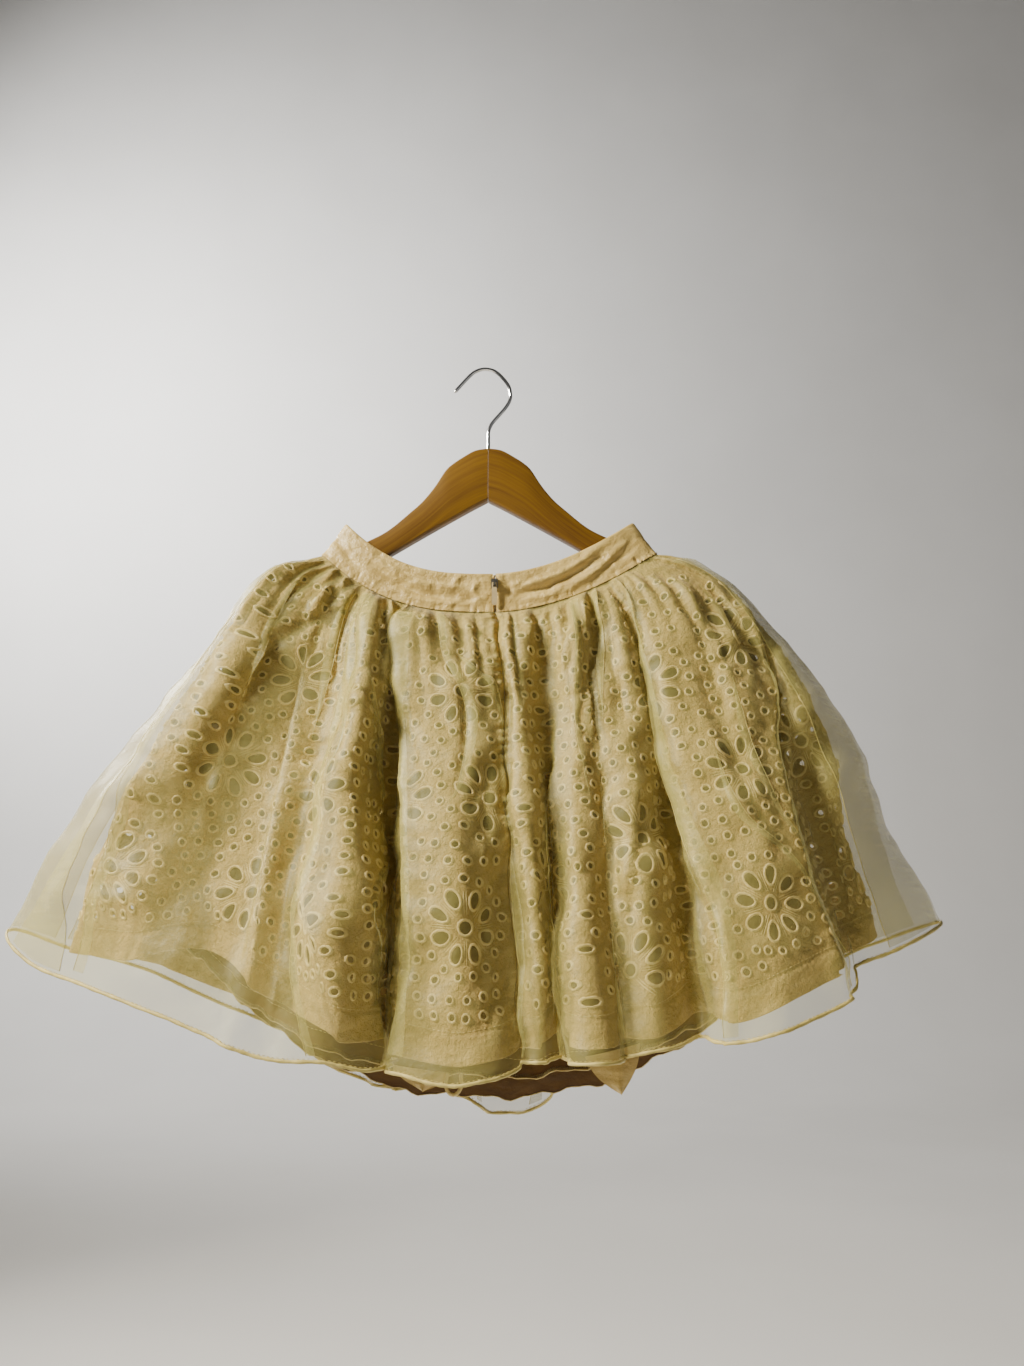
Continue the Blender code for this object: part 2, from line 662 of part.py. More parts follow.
def build_hanger_half(name, side, surface):
    """One wooden half: its outline in height, drawn out to the wood's thickness."""
    outline = list(HANGER_TOP_EDGE) + list(HANGER_BOTTOM_EDGE)
    joint = 0.5 * SEAM_GAP
    placed = []
    for distance, z in outline:
        x = side * max(distance, joint)
        turned_x = x * math.cos(HANGER_TILT)
        turned_z = z + x * math.sin(HANGER_TILT)
        placed.append(Vector((HANGER_CENTRE_X + turned_x, 0.0, turned_z)))
    count = len(placed)
    half = 0.5 * HANGER_THICKNESS
    rings = ((-half, HANGER_EDGE_ROUND), (-half + HANGER_EDGE_ROUND, 0.0),
             (half - HANGER_EDGE_ROUND, 0.0), (half, HANGER_EDGE_ROUND))
    points = []
    for y, inset in rings:
        for index, point in enumerate(placed):
            before = placed[index - 1]
            after = placed[(index + 1) % count]
            along = (after - before).normalized()
            inward = Vector((-along.z, 0.0, along.x)) * -side
            at_joint = outline[index][0] == 0.0
            shift = Vector((0.0, 0.0, inward.z)) if at_joint else inward
            points.append(point + shift * inset + Vector((0.0, y, 0.0)))
    faces = []
    for ring in range(len(rings) - 1):
        for index in range(count):
            a = ring * count + index
            b = ring * count + (index + 1) % count
            faces.append((a, b, b + count, a + count))
    top = len(HANGER_TOP_EDGE)
    for first in (0, (len(rings) - 1) * count):
        left, right = 0, count - 1
        cap = []
        while right - left > 1:
            if left < top - 1 and (count - 1 - right) >= left * (count - top) / top:
                cap.append((first + left, first + left + 1, first + right))
                left += 1
            else:
                cap.append((first + left, first + right - 1, first + right))
                right -= 1
        faces += cap
    return add_object(name, points, faces, surface)


def box_faces(points, low, high):
    """Add the corners of a box to points and give its outward faces."""
    first = len(points)
    for x in (low[0], high[0]):
        for y in (low[1], high[1]):
            for z in (low[2], high[2]):
                points.append(Vector((x, y, z)))
    quads = ((0, 1, 3, 2), (4, 6, 7, 5), (0, 4, 5, 1), (2, 3, 7, 6), (0, 2, 6, 4), (1, 5, 7, 3))
    return [tuple(first + index for index in quad) for quad in quads]


def union(name, boxes, surface):
    """Boxes joined into one solid."""
    parts = []
    for number, (low, high) in enumerate(boxes):
        corners = []
        faces = box_faces(corners, low, high)
        parts.append(add_object(f"{name}_{number}", corners, faces, surface, smooth=False))
    base = parts[0]
    base.name = name
    for other in parts[1:]:
        modifier = base.modifiers.new("join", "BOOLEAN")
        modifier.operation = "UNION"
        modifier.object = other
        other.hide_render = True
        other.display_type = "WIRE"
    return base


def band_face_y():
    """Outer face of the waistband at the zip."""
    return -WAIST_HALF_DEPTH - 0.5 * BAND_WALL


def build_slider(surface):
    """Slider plate on the waistband with the bridge that carries the pull."""
    face = band_face_y() - SEAM_GAP
    width, depth, height = SLIDER_PLATE
    front = face - depth
    half = 0.5 * BRIDGE_WIDTH
    low = PULL_AXIS_Z - 0.5 * BRIDGE_HEIGHT
    high = PULL_AXIS_Z + 0.5 * BRIDGE_HEIGHT
    reach = front - BRIDGE_REACH
    plate = ((SLIDER_X - 0.5 * width, front, PULL_AXIS_Z - 0.5 * height),
             (SLIDER_X + 0.5 * width, face, PULL_AXIS_Z + 0.5 * height))
    lower = ((SLIDER_X - half, reach + BRIDGE_SINK, low),
             (SLIDER_X + half, front + BRIDGE_SINK, low + BRIDGE_LEG))
    upper = ((SLIDER_X - half, reach + BRIDGE_SINK, high - BRIDGE_LEG),
             (SLIDER_X + half, front + BRIDGE_SINK, high))
    strap = ((SLIDER_X - half, reach, low), (SLIDER_X + half, reach + BRIDGE_STRAP, high))
    return union("zip_slider", (plate, lower, upper, strap), surface)


def pull_axis_y():
    """Depth of the pull's axis, midway between the slider plate and the bridge's strap."""
    front = band_face_y() - SEAM_GAP - SLIDER_PLATE[1]
    return front - 0.5 * (BRIDGE_REACH - BRIDGE_STRAP)


def build_pull(surface):
    """Teardrop pull tab: a bar under the bridge, two cheeks and a rounded plate."""
    half = 0.5 * PULL_THICKNESS
    cheek = [(PULL_CHEEK_OUTER, 0.5 * PULL_BAR), (PULL_CHEEK_OUTER, -PULL_WINDOW)]
    shoulder_z = -PULL_LENGTH + PULL_END_RADIUS
    arc = [(PULL_END_RADIUS * math.cos(angle), shoulder_z + PULL_END_RADIUS * math.sin(angle))
           for angle in (0.0, -math.pi / 4, -math.pi / 2)]
    right = cheek + arc
    left = [(-x, z) for x, z in reversed(right[:-1])]
    outline = right + left
    window_top = -0.5 * PULL_BAR
    window = [(-PULL_CHEEK_INNER, window_top), (-PULL_CHEEK_INNER, -PULL_WINDOW),
              (PULL_CHEEK_INNER, -PULL_WINDOW), (PULL_CHEEK_INNER, window_top)]
    count = len(outline)
    flat = [Vector(point) for point in outline + window]
    edges = [(i, (i + 1) % count) for i in range(count)]
    edges += [(count + i, count + (i + 1) % 4) for i in range(4)]
    corners, _, triangles, *_ = delaunay_2d_cdt(flat, edges, [], 0, 1e-6)
    kept = []
    for face in triangles:
        x = sum(corners[index].x for index in face) / 3.0
        z = sum(corners[index].y for index in face) / 3.0
        if inside_outline(outline, x, z) and not inside_outline(window, x, z):
            kept.append(list(face))
    outer_points = [Vector((p.x, -half, p.y)) for p in corners]
    inner_points = [Vector((p.x, half, p.y)) for p in corners]
    points, faces = close_wall(outer_points, inner_points, kept)
    result = add_object("zip_pull", points, faces, surface, smooth=False)
    result.location = Vector((SLIDER_X, pull_axis_y(), PULL_AXIS_Z)) * MM
    return result


def build_zip_strip(surface):
    """Zip chain: a strip behind the slit, from the waistband's top to the end of the zip."""
    places = [band_point(waist_angle(ZIP_FOLD), share) for share in ZIP_BAND_SHARES]
    inside = 0.5 * BAND_WALL + SEAM_GAP + 0.5 * ZIP_STRIP_THICKNESS
    stations = [(middle - out * inside, out) for middle, out in places]
    for level in ROW_LEVELS[1:ROW_LEVELS.index(ZIP_END_LEVEL) + 1]:
        out = lace_normal(ZIP_FOLD, level)
        depth = 0.5 * EYELET_WALL + SEAM_GAP + 0.5 * ZIP_STRIP_THICKNESS + ZIP_STRIP_CLEARANCE
        stations.append((lace_point(ZIP_FOLD, level) - out * depth, out))
    half_width = 0.5 * ZIP_STRIP_WIDTH
    half = 0.5 * ZIP_STRIP_THICKNESS

    def point_at(sideways, station):
        middle, out = stations[station]
        middle = middle + Vector((sideways, 0.0, 0.0))
        return middle + out * half, middle - out * half

    return grid_wall("zip_chain", (-half_width, half_width), range(len(stations)), point_at, surface)


def far_flowers():
    """Flower places on the far side: evenly spaced in each level, staggered from level to level."""
    flowers = []
    span = FOLD_COUNT - SIDE_RIGHT
    for level, count in zip(FAR_FLOWER_LEVELS, FAR_FLOWERS_PER_LEVEL):
        for number in range(count):
            share = FAR_FLOWER_MARGIN + (1.0 - 2.0 * FAR_FLOWER_MARGIN) * (number + 0.5) / count
            flowers.append((SIDE_RIGHT + span * share, level))
    return flowers


def build_skirt():
    lace = material("eyelet_lace", COLOURS["eyelet"], 0.8)
    organza = material("organza", COLOURS["organza"], 0.45)
    lining = material("lining_satin", COLOURS["lining"], 0.5)
    satin = material("waistband_satin", COLOURS["satin"], 0.45)
    seam = 0.5 * SEAM_GAP
    slit = 0.5 * ZIP_GAP_BELOW
    panels = (("back_left", SIDE_LEFT, ZIP_FOLD, seam, slit),
              ("back_right", ZIP_FOLD, SIDE_RIGHT, slit, seam),
              ("front", SIDE_RIGHT, FOLD_COUNT, seam, seam))
    for name, start, end, gap_start, gap_end in panels:
        flowers = far_flowers() if name == "front" else NEAR_FLOWERS
        flowers = [flower for flower in flowers if start < flower[0] < end]
        lace_panel(f"eyelet_{name}", start, end, gap_start, gap_end, flowers, lace)
        organza_panel(f"organza_{name}", start, end, gap_start, gap_end, organza)
        band_start = 0.5 * ZIP_GAP_IN_BAND if start == ZIP_FOLD else seam
        band_end = 0.5 * ZIP_GAP_IN_BAND if end == ZIP_FOLD else seam
        band_panel(f"waistband_{name}", start, end, band_start, band_end, satin)
    lining_panel("lining_back", SIDE_LEFT, SIDE_RIGHT, lining)
    lining_panel("lining_front", SIDE_RIGHT, FOLD_COUNT, lining)


def main():
    for item in list(bpy.data.objects):
        bpy.data.objects.remove(item)
    wood = material("hanger_wood", COLOURS["wood"], 0.4)
    chrome = material("hook_chrome", COLOURS["chrome"], 0.2, 1.0)
    metal = material("zip_metal", COLOURS["metal"], 0.3, 1.0)
    build_hanger_half("hanger_left", -1, wood)
    build_hanger_half("hanger_right", 1, wood)
    build_hook(chrome)
    build_skirt()
    build_zip_strip(metal)
    build_slider(metal)
    build_pull(metal)


main()
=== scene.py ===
"""Looks of the lace mini skirt on its wooden hanger.

Cloth pieces are thin shells on the fold table of the solids, with creases, gathers and holes.
The zipped back of the skirt faces -Y, and sizes in the tables are in millimetres.
"""
import math

import bpy
import numpy as np
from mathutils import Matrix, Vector
from mathutils.geometry import delaunay_2d_cdt


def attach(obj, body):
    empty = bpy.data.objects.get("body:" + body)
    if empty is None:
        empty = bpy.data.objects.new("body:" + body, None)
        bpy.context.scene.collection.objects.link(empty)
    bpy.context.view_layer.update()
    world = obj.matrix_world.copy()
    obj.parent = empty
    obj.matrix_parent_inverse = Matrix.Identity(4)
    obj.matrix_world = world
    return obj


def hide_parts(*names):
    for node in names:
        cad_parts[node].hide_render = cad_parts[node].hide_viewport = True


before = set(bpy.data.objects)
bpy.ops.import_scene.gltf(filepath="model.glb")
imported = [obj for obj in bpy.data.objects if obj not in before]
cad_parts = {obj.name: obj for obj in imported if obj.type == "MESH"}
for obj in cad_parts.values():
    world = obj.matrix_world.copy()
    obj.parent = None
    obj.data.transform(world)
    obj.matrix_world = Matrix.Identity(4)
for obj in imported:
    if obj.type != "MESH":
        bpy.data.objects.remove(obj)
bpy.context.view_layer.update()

MM = 0.001

# Waist seam: a flat loop that sags between the arms of the hanger
WAIST_CENTRE_X = 5.5
WAIST_HALF_WIDTH = 151.5
WAIST_HALF_DEPTH = 13.0
WAIST_SQUARENESS = 5.0
SEAM_SIDE_LEFT_Z = -187.0
SEAM_SIDE_RIGHT_Z = -186.0
SEAM_NEAR_Z = -243.5
SEAM_FAR_Z = -256.0
SEAM_POWER_LEFT = 2.8
SEAM_POWER_RIGHT = 1.9
SEAM_POWER_FAR = 2.3
BAND_HEIGHT = 36.0
BAND_TOP_NARROWING = 0.867
ZIP_GAP_IN_BAND = 3.4
# Length of a fold along the band beside the zip, gap at a side seam as a place, and column width
BAND_PLACE = 23.0
BAND_INSET = 0.008
BAND_COLUMN = 1.1

# Levels down the skirt at which the fold table gives a width
LEVELS = (0.0, 0.11, 0.33, 0.67, 1.0)
DEPTH_SHARES = (0.0, 0.28, 0.50, 0.80, 1.0)
# The cloth first stands out from the waist seam and only then drops
PUFF_SHARE = 0.45
PUFF_LEVEL = 0.22

# Folds of the near side, from the left side round to the right, in millimetres.
# The over columns say how far the organza's hem stands off the lace's hem.
FOLD_COLUMNS = ("name", "waist_x", "shoulder_x", "hip_x", "thigh_x", "hem_x",
                "hem_y", "hem_z", "over_x", "over_y", "over_z")
NEAR_FOLDS = (
    ("side_left", -146.0, -207, -247, -315, -338, 0, -538, -50, 0, 17),
    ("left_round", -144.0, -203, -240, -302, -318, -30, -538, -40, -12, -8),
    ("left_ridge", -140.0, -183, -217, -256, -272, -68, -539, -20, -16, -22),
    ("left_valley", -132.0, -172, -196, -218, -224, -46, -532, 0, -56, -50),
    ("crease_ridge", -120.0, -145, -157, -168, -177, -86, -555, -6, -30, -42),
    ("crease_valley", -107.0, -118, -128, -145, -152, -60, -574, 4, -56, -33),
    ("centre_left_ridge", -94.0, -99, -103, -107, -108, -112, -592, 1, -14, -16),
    ("centre_left_edge", -80.0, -84, -85, -86, -80, -94, -597, 6, -17, -18),
    ("deep_valley", -72.0, -74, -73, -70, -67, -46, -597, 2, -14, -16),
    ("tail_edge", -63.0, -65, -60, -54, -53, -94, -607, -2, -12, -10),
    ("tail_ridge", -38.0, -32, -24, -15, -16, -118, -611, -5, -10, -12),
    ("tail_plateau", -12.0, -6, 2, 8, 13, -108, -608, -3, -10, -12),
    ("zip_groove", 11.0, 16, 20, 25, 32, -88, -602, 0, -12, -10),
    ("flap_ridge", 27.0, 30, 35, 42, 49, -98, -601, 2, -11, -9),
    ("flap_valley", 47.0, 51, 54, 58, 63, -62, -593, 0, -22, -15),
    ("right_ridge", 70.0, 73, 75, 78, 86, -98, -602, -1, -11, -9),
    ("shallow_valley", 90.0, 93, 97, 102, 110, -76, -596, -3, -14, -14),
    ("side_ridge", 105.0, 113, 122, 128, 134, -94, -594, 1, -10, -8),
    ("side_valley", 117.0, 132, 147, 162, 172, -52, -580, -6, -30, -15),
    ("puff_edge", 126.0, 146, 161, 180, 192, -94, -584, -5, -13, -13),
    ("puff_ridge", 137.0, 178, 204, 224, 228, -103, -570, -4, -14, -17),
    ("puff_right", 144.5, 194, 228, 254, 268, -76, -553, 1, -14, -17),
    ("end_valley", 149.5, 205, 246, 272, 287, -42, -539, 1, -20, -10),
    ("end_ridge", 154.0, 216, 262, 293, 308, -46, -530, 20, -12, -3),
    ("side_right", 157.0, 224, 276, 313, 330, 0, -523, 54, 0, 10),
)

# Folds of the far side, from the right side back to the left: ridges and valleys in turn
FAR_FOLDS = (
    ("far_1", 153.0, 213, 262, 298, 314, 24, -529, 28, 6, -3),
    ("far_2", 143.0, 190, 232, 262, 275, 15, -545, 6, 8, -10),
    ("far_3", 130.0, 165, 200, 228, 240, 32, -560, 2, 5, -14),
    ("far_4", 114.0, 138, 165, 190, 200, 16, -576, 0, 9, -14),
    ("far_5", 97.0, 114, 134, 154, 163, 36, -590, 0, 5, -14),
    ("far_6", 79.0, 92, 108, 120, 127, 17, -602, 0, 7, -14),
    ("far_7", 61.0, 70, 80, 88, 92, 38, -616, 0, 4, -16),
    ("far_8", 42.0, 48, 54, 58, 60, 18, -634, 0, 6, -20),
    ("far_9", 22.0, 24, 24, 24, 24, 40, -648, 0, 4, -27),
    ("far_10", 2.0, 1, -1, -4, -6, 19, -641, 0, 6, -20),
    ("far_11", -19.0, -24, -30, -36, -40, 38, -636, 0, 4, -18),
    ("far_12", -40.0, -48, -58, -68, -74, 17, -633, 0, 6, -18),
    ("far_13", -61.0, -74, -90, -104, -110, 36, -626, 0, 5, -18),
    ("far_14", -82.0, -100, -122, -140, -148, 16, -604, 0, 8, -14),
    ("far_15", -101.0, -126, -156, -180, -192, 34, -582, 0, 6, -14),
    ("far_16", -118.0, -150, -188, -218, -232, 16, -564, -3, 8, -12),
    ("far_17", -132.0, -176, -216, -256, -276, 28, -548, -12, 6, -6),
    ("far_18", -142.0, -198, -238, -296, -320, 20, -541, -34, 5, 4),
)

# Lining: a narrower plain skirt, as rings at the same levels below the waist seam
LINING_COLUMNS = ("level", "left_x", "right_x", "near_y", "far_y", "near_z", "side_z", "far_z", "square")
LINING_RINGS = (
    (0.055, -178.5, 191, -15, 11.0, -262, -203, -276, 5),
    (0.11, -204.5, 220.5, -16.5, 11.5, -281, -223, -294, 5),
    (0.33, -232, 246, -19, 9.5, -368, -292, -382, 4),
    (0.67, -258, 272, -25, 9.5, -498, -402, -516, 3),
    (1.0, -272, 286, -31, 10.0, -632, -500, -653, 3),
)
LINING_LEVELS = (0.0,) + tuple(ring[0] for ring in LINING_RINGS)
LINING_GRID = (170, 60)
LINING_FOLDS = 16
# Level of the lining's hem seam, and the row of its grid that carries the stitches
LINING_HEM_LEVEL = 0.965
LINING_HEM_ROW = 57
LINING_WAVE = 1.8
LINING_WAVES = 7
LINING_ZIP_ROOM = 1.4
LINING_ZIP_REACH = 12.0
LINING_SAG_POWER = 2.4
# Corners of the near hem turned outwards: start, end, tip and how far they stand out
TURNED_CORNERS = (
    ((84.0, -33.0, -616.0), (128.0, -31.0, -606.0), (112.0, -38.0, -644.0), 6.0),
    ((-70.0, -32.0, -622.0), (-24.0, -33.0, -628.0), (-44.0, -36.0, -642.0), 4.0),
)
HEM_LOOP = ((-25.0, -35.0, -628.0), (-26.0, -37.0, -637.0), (-23.0, -38.0, -643.0), (-18.0, -38.0, -643.5),
            (-14.0, -37.0, -638.0), (-14.5, -35.0, -629.0))

# Wooden hanger: outline of one half, as distance from the centre and height
HANGER_CENTRE_X = 3.8
HANGER_THICKNESS = 11.0
HANGER_TILT = math.radians(0.8)
HANGER_CORNER = 2.6
HANGER_JOINT_GAP = 0.3
HANGER_RINGS = 64
HANGER_TOP_EDGE = (
    (0.0, -81.3), (12.0, -83.2), (23.0, -89.5), (33.0, -96.5), (40.0, -103.5), (49.0, -118.5),
    (60.0, -133.0), (72.0, -144.5), (91.0, -161.0), (110.0, -171.5), (150.0, -190.5),
    (180.0, -204.5), (194.0, -212.0), (202.0, -219.5),
)
HANGER_BOTTOM_EDGE = (
    (204.5, -228.0), (202.0, -236.0), (195.0, -240.0), (180.0, -234.0), (150.0, -219.0),
    (110.0, -197.5), (60.0, -167.5), (20.0, -144.0), (0.0, -133.0),
)

# Hook: chrome wire from the wood over the crown to its free end, as x and z
HOOK_WIRE = 3.4
HOOK_PATH = (
    (3.8, -80.9), (3.8, -70.0), (4.0, -62.5), (6.9, -54.9), (13.0, -47.0), (19.0, -39.6),
    (23.4, -32.0), (24.6, -25.0), (22.6, -15.6), (15.0, -5.2), (8.0, 0.2), (0.0, 1.7),
    (-7.0, 0.0), (-13.0, -4.2), (-21.3, -13.7), (-28.7, -22.7),
)

# Zip: the tab's axis, the level where the zip ends, and the length of a fold beside it
PULL_AXIS_Z = -217.0
ZIP_END_LEVEL = 0.51
ZIP_PLACE = 22.0
# The seam at the zip wanders sideways, and the gathers are quiet beside it
ZIP_WANDER = 1.7
ZIP_WANDER_WIDTH = 13.0
ZIP_QUIET = 0.8
ZIP_QUIET_WIDTH = 7.0
# Groove over the zip with a lip on each side, and puckers beside it
GROOVE_DEPTH = 4.0
GROOVE_WIDTH = 2.2
ZIP_LIP = 1.5
ZIP_LIP_DISTANCE = 5.0
ZIP_LIP_WIDTH = 2.6
ZIP_PUCKER = 1.9
PUCKER_DISTANCE = 4.0
PUCKER_WIDTH = 4.5
# Side seams: the length of a fold beside them, and their groove
SIDE_PLACE = 14.0
SIDE_SEAM_DEPTH = 0.9
SIDE_SEAM_WIDTH = 1.6

# Waist band, folded satin: creases as depth, width and a line of place and share of its height
BAND_WALL = 2.0
BAND_CREASES = (
    (1.6, 3.0, ((13.0, 0.66), (14.0, 0.62), (15.5, 0.66), (17.0, 0.78), (18.6, 0.9))),
    (-1.7, 2.8, ((12.8, 0.5), (13.6, 0.42), (15.0, 0.46), (16.5, 0.58), (18.0, 0.7))),
    (1.3, 3.0, ((13.4, 0.2), (15.0, 0.22), (17.0, 0.34), (18.8, 0.5), (21.0, 0.6))),
    (-1.3, 2.6, ((16.5, 0.2), (18.0, 0.34), (20.0, 0.5), (22.0, 0.66))),
    (-1.5, 2.8, ((4.6, 0.62), (6.0, 0.54), (7.5, 0.44), (9.4, 0.36), (11.2, 0.46))),
    (1.4, 2.8, ((4.0, 0.8), (5.5, 0.74), (7.4, 0.64), (9.4, 0.6), (11.4, 0.7))),
    (1.0, 2.4, ((7.5, 0.26), (9.0, 0.16), (11.3, 0.2))),
    (-1.2, 2.6, ((1.0, 0.5), (3.0, 0.44), (4.6, 0.26))),
    (-1.1, 2.2, ((12.5, 0.85), (12.9, 0.6), (12.8, 0.35))),
    (1.0, 2.0, ((11.3, 0.8), (11.1, 0.55), (11.4, 0.3))),
)

# Ridges where the organza folds on itself
ORGANZA_CREASES = (
    (1.3, 1.5, ((18.45, 0.1), (18.6, 0.19), (18.55, 0.28), (18.75, 0.4), (18.95, 0.55), (19.1, 0.7),
                (19.2, 0.9))),
    (1.2, 1.4, ((9.2, 0.2), (9.1, 0.28), (9.25, 0.38), (9.35, 0.5), (9.4, 0.7), (9.3, 0.9))),
    (1.2, 1.4, ((6.3, 0.24), (6.9, 0.306), (7.35, 0.344), (7.5, 0.444), (7.4, 0.55))),
    (1.2, 1.5, ((13.3, 0.55), (13.5, 0.7), (13.7, 0.9), (13.6, 1.0))),
    (1.0, 1.6, ((22.0, 0.3), (21.6, 0.45), (21.5, 0.6), (21.8, 0.8))),
    (1.0, 1.6, ((1.4, 0.3), (1.5, 0.5), (1.7, 0.7), (1.6, 0.95))),
    (0.9, 1.4, ((15.3, 0.1), (15.2, 0.22), (15.2, 0.36), (15.4, 0.5))),
    (0.9, 1.4, ((4.9, 0.1), (4.8, 0.25), (4.7, 0.38))),
)

# Folded strips of organza lying on it: width, towards the right where above zero, and a line
ORGANZA_STRIPS = (
    (8.0, ((9.85, 0.02), (9.92, 0.131), (10.17, 0.181), (10.5, 0.25), (10.5, 0.32), (10.17, 0.43),
           (9.83, 0.5))),
    (-7.0, ((10.1, 0.12), (10.6, 0.145), (11.0, 0.175), (11.5, 0.2), (11.75, 0.263), (11.8, 0.33))),
    (12.0, ((17.9, 0.1), (18.35, 0.18), (18.2, 0.3), (18.3, 0.44), (18.6, 0.6), (18.85, 0.7),
            (19.05, 0.83), (18.95, 0.99))),
    (10.0, ((8.75, 0.06), (8.8, 0.2), (8.7, 0.28), (8.85, 0.38), (8.95, 0.5), (9.0, 0.7), (8.9, 0.97))),
    (-8.0, ((6.3, 0.22), (6.9, 0.306), (7.35, 0.344), (7.5, 0.444), (7.4, 0.56))),
    (5.0, ((12.1, 0.53), (12.15, 0.64), (12.2, 0.78), (12.15, 0.9), (12.1, 0.99))),
    (9.0, ((13.3, 0.5), (13.5, 0.7), (13.7, 0.9), (13.6, 0.99))),
    (-9.0, ((23.0, 0.14), (22.33, 0.3), (21.4, 0.463), (21.1, 0.59), (21.0, 0.73), (21.4, 0.92),
            (21.3, 0.99))),
    (-6.0, ((19.5, 0.43), (19.75, 0.588), (20.5, 0.7), (21.2, 0.9))),
    (9.0, ((1.4, 0.2), (1.4, 0.35), (1.5, 0.5), (1.7, 0.7), (1.6, 0.98))),
    (7.0, ((15.3, 0.03), (15.25, 0.12), (15.2, 0.22), (15.2, 0.36), (15.4, 0.52))),
    (-7.0, ((4.9, 0.04), (4.85, 0.12), (4.8, 0.25), (4.7, 0.4))),
    (6.0, ((5.75, 0.03), (5.8, 0.12), (5.7, 0.25), (5.75, 0.38), (5.5, 0.55))),
    (-6.0, ((16.6, 0.02), (16.55, 0.12), (16.4, 0.22), (16.3, 0.34))),
    (-8.0, ((20.3, 0.3), (20.3, 0.45), (20.5, 0.6), (21.0, 0.74))),
    (-42.0, ((1.5, 0.03), (1.6, 0.2), (1.5, 0.4), (1.5, 0.6), (1.4, 0.8), (1.4, 0.99))),
    (36.0, ((22.8, 0.03), (22.7, 0.2), (22.8, 0.45), (22.9, 0.7), (22.9, 0.99))),
    (14.0, ((5.2, 0.03), (5.3, 0.2), (5.2, 0.4), (5.4, 0.6), (5.3, 0.8), (5.6, 0.99))),
)

# Colours, linear red, green and blue
LACE_COLOUR = (0.64, 0.435, 0.12)
LACE_SHADE = (0.47, 0.305, 0.07)
THREAD_COLOUR = (0.95, 0.75, 0.29)
THREAD_SHADE = (0.76, 0.55, 0.17)
ORGANZA_COLOUR = (0.60, 0.525, 0.15)
ORGANZA_SHADE = (0.50, 0.44, 0.11)
ORGANZA_ALPHA = 0.32
HEM_COLOUR = (0.70, 0.56, 0.165)
HEM_SHADE = (0.46, 0.36, 0.08)
SATIN_COLOUR = (0.69, 0.50, 0.155)
SATIN_SHADE = (0.51, 0.345, 0.09)
# Lining: the warm tone of its pale champagne satin, darkened to a deep brown as painted shade
LINING_PAINTED_SHADE = (0.165, 0.078, 0.009)
LINING_PAINTED_DEEP_SHADE = (0.115, 0.052, 0.006)
WOOD_LIGHT = (0.225, 0.112, 0.005)
WOOD_DARK = (0.105, 0.044, 0.003)
STAGE_COLOUR = (0.80, 0.78, 0.74)
STAGE_COLOUR_FAR = (0.84, 0.82, 0.78)
DOUBLE_ALPHA = 0.4
WORLD_COLOUR = (1.0, 0.97, 0.93)
WORLD_STRENGTH = 0.09
ENAMEL_COLOUR = (0.55, 0.43, 0.22)
CHROME_COLOUR = (0.78, 0.78, 0.78)
NICKEL_COLOUR = (0.42, 0.40, 0.34)
WAVE_PERIOD = 0.314
GRAIN_SIZE = 1.1
SCRATCH_SIZE = 0.4
# Cloths: thread and crinkle are a size and a depth in millimetres
CLOTHS = {
    "eyelet_cotton": dict(colours=(LACE_SHADE, LACE_COLOUR), roughness=0.8, thread=(0.45, 0.05),
                          crinkle=(5.0, 5.0), grain=0.9, Sheen_Weight=0.08),
    "embroidery_thread": dict(colours=(THREAD_SHADE, THREAD_COLOUR), roughness=0.5, thread=(0.5, 0.08),
                              crinkle=(2.4, 1.2), grain=0.4, Sheen_Weight=0.08),
    "sheer_organza": dict(colours=(ORGANZA_SHADE, ORGANZA_COLOUR), roughness=0.42, thread=(0.5, 0.04),
                          crinkle=(9.0, 0.9), slub=(0.3, 2.4), Sheen_Weight=0.25, Alpha=ORGANZA_ALPHA),
    "organza_double": dict(colours=(ORGANZA_SHADE, ORGANZA_COLOUR), roughness=0.42, thread=(0.5, 0.04),
                           crinkle=(6.0, 0.7), slub=(0.3, 2.4), Sheen_Weight=0.25, Alpha=DOUBLE_ALPHA),
    "organza_fold_edge": dict(colours=(ORGANZA_SHADE, HEM_COLOUR), roughness=0.4, thread=(0.5, 0.04),
                              crinkle=(5.0, 0.3), Sheen_Weight=0.2, Alpha=0.75),
    "organza_hem": dict(colours=(HEM_SHADE, HEM_COLOUR), roughness=0.5, thread=(0.5, 0.06),
                        crinkle=(1.8, 0.3), Sheen_Weight=0.15),
    "waistband_satin": dict(colours=(SATIN_SHADE, SATIN_COLOUR), roughness=0.42, thread=(0.3, 0.02),
                            crinkle=(9.0, 2.0), grain=0.2, slub=(0.4, 2.5), Sheen_Weight=0.1,
                            Specular_IOR_Level=0.55),
    # Lining satin: its own warm tone, darkened with painted shade
    "lining_satin": dict(colours=(LINING_PAINTED_DEEP_SHADE, LINING_PAINTED_SHADE), roughness=0.36, thread=(0.3, 0.02),
                         crinkle=(8.0, 0.8), slub=(0.5, 2.0), Sheen_Weight=0.1),
}

# Camera, floor and lamps, in metres: name, place, aim, size, power, colour
CAMERA_PLACE = (0.026, -0.895, -0.50)
CAMERA_PITCH = 12.3
CAMERA_LENS = 27.09
FLOOR_Z = -1.35
LAMPS = (
    ("key", (-1.72, -0.8, 0.9), (0.0, 0.0, -0.4), (0.35, 0.35), 56.0, (1.0, 0.95, 0.85)),
    ("fill", (1.6, -1.6, -0.3), (0.0, 0.0, -0.4), (1.6, 1.6), 1.0, (0.97, 0.98, 1.0)),
    ("rim", (-1.9, 1.3, 0.8), (0.0, 0.0, -0.4), (0.4, 0.4), 34.0, (1.0, 0.95, 0.86)),
    ("backdrop", (-4.2, 1.7, 2.6), (-1.2, 5.0, 2.1), (1.2, 1.2), 260.0, (1.0, 1.0, 1.0)),
)
LAMP_SPREAD = math.radians(115.0)
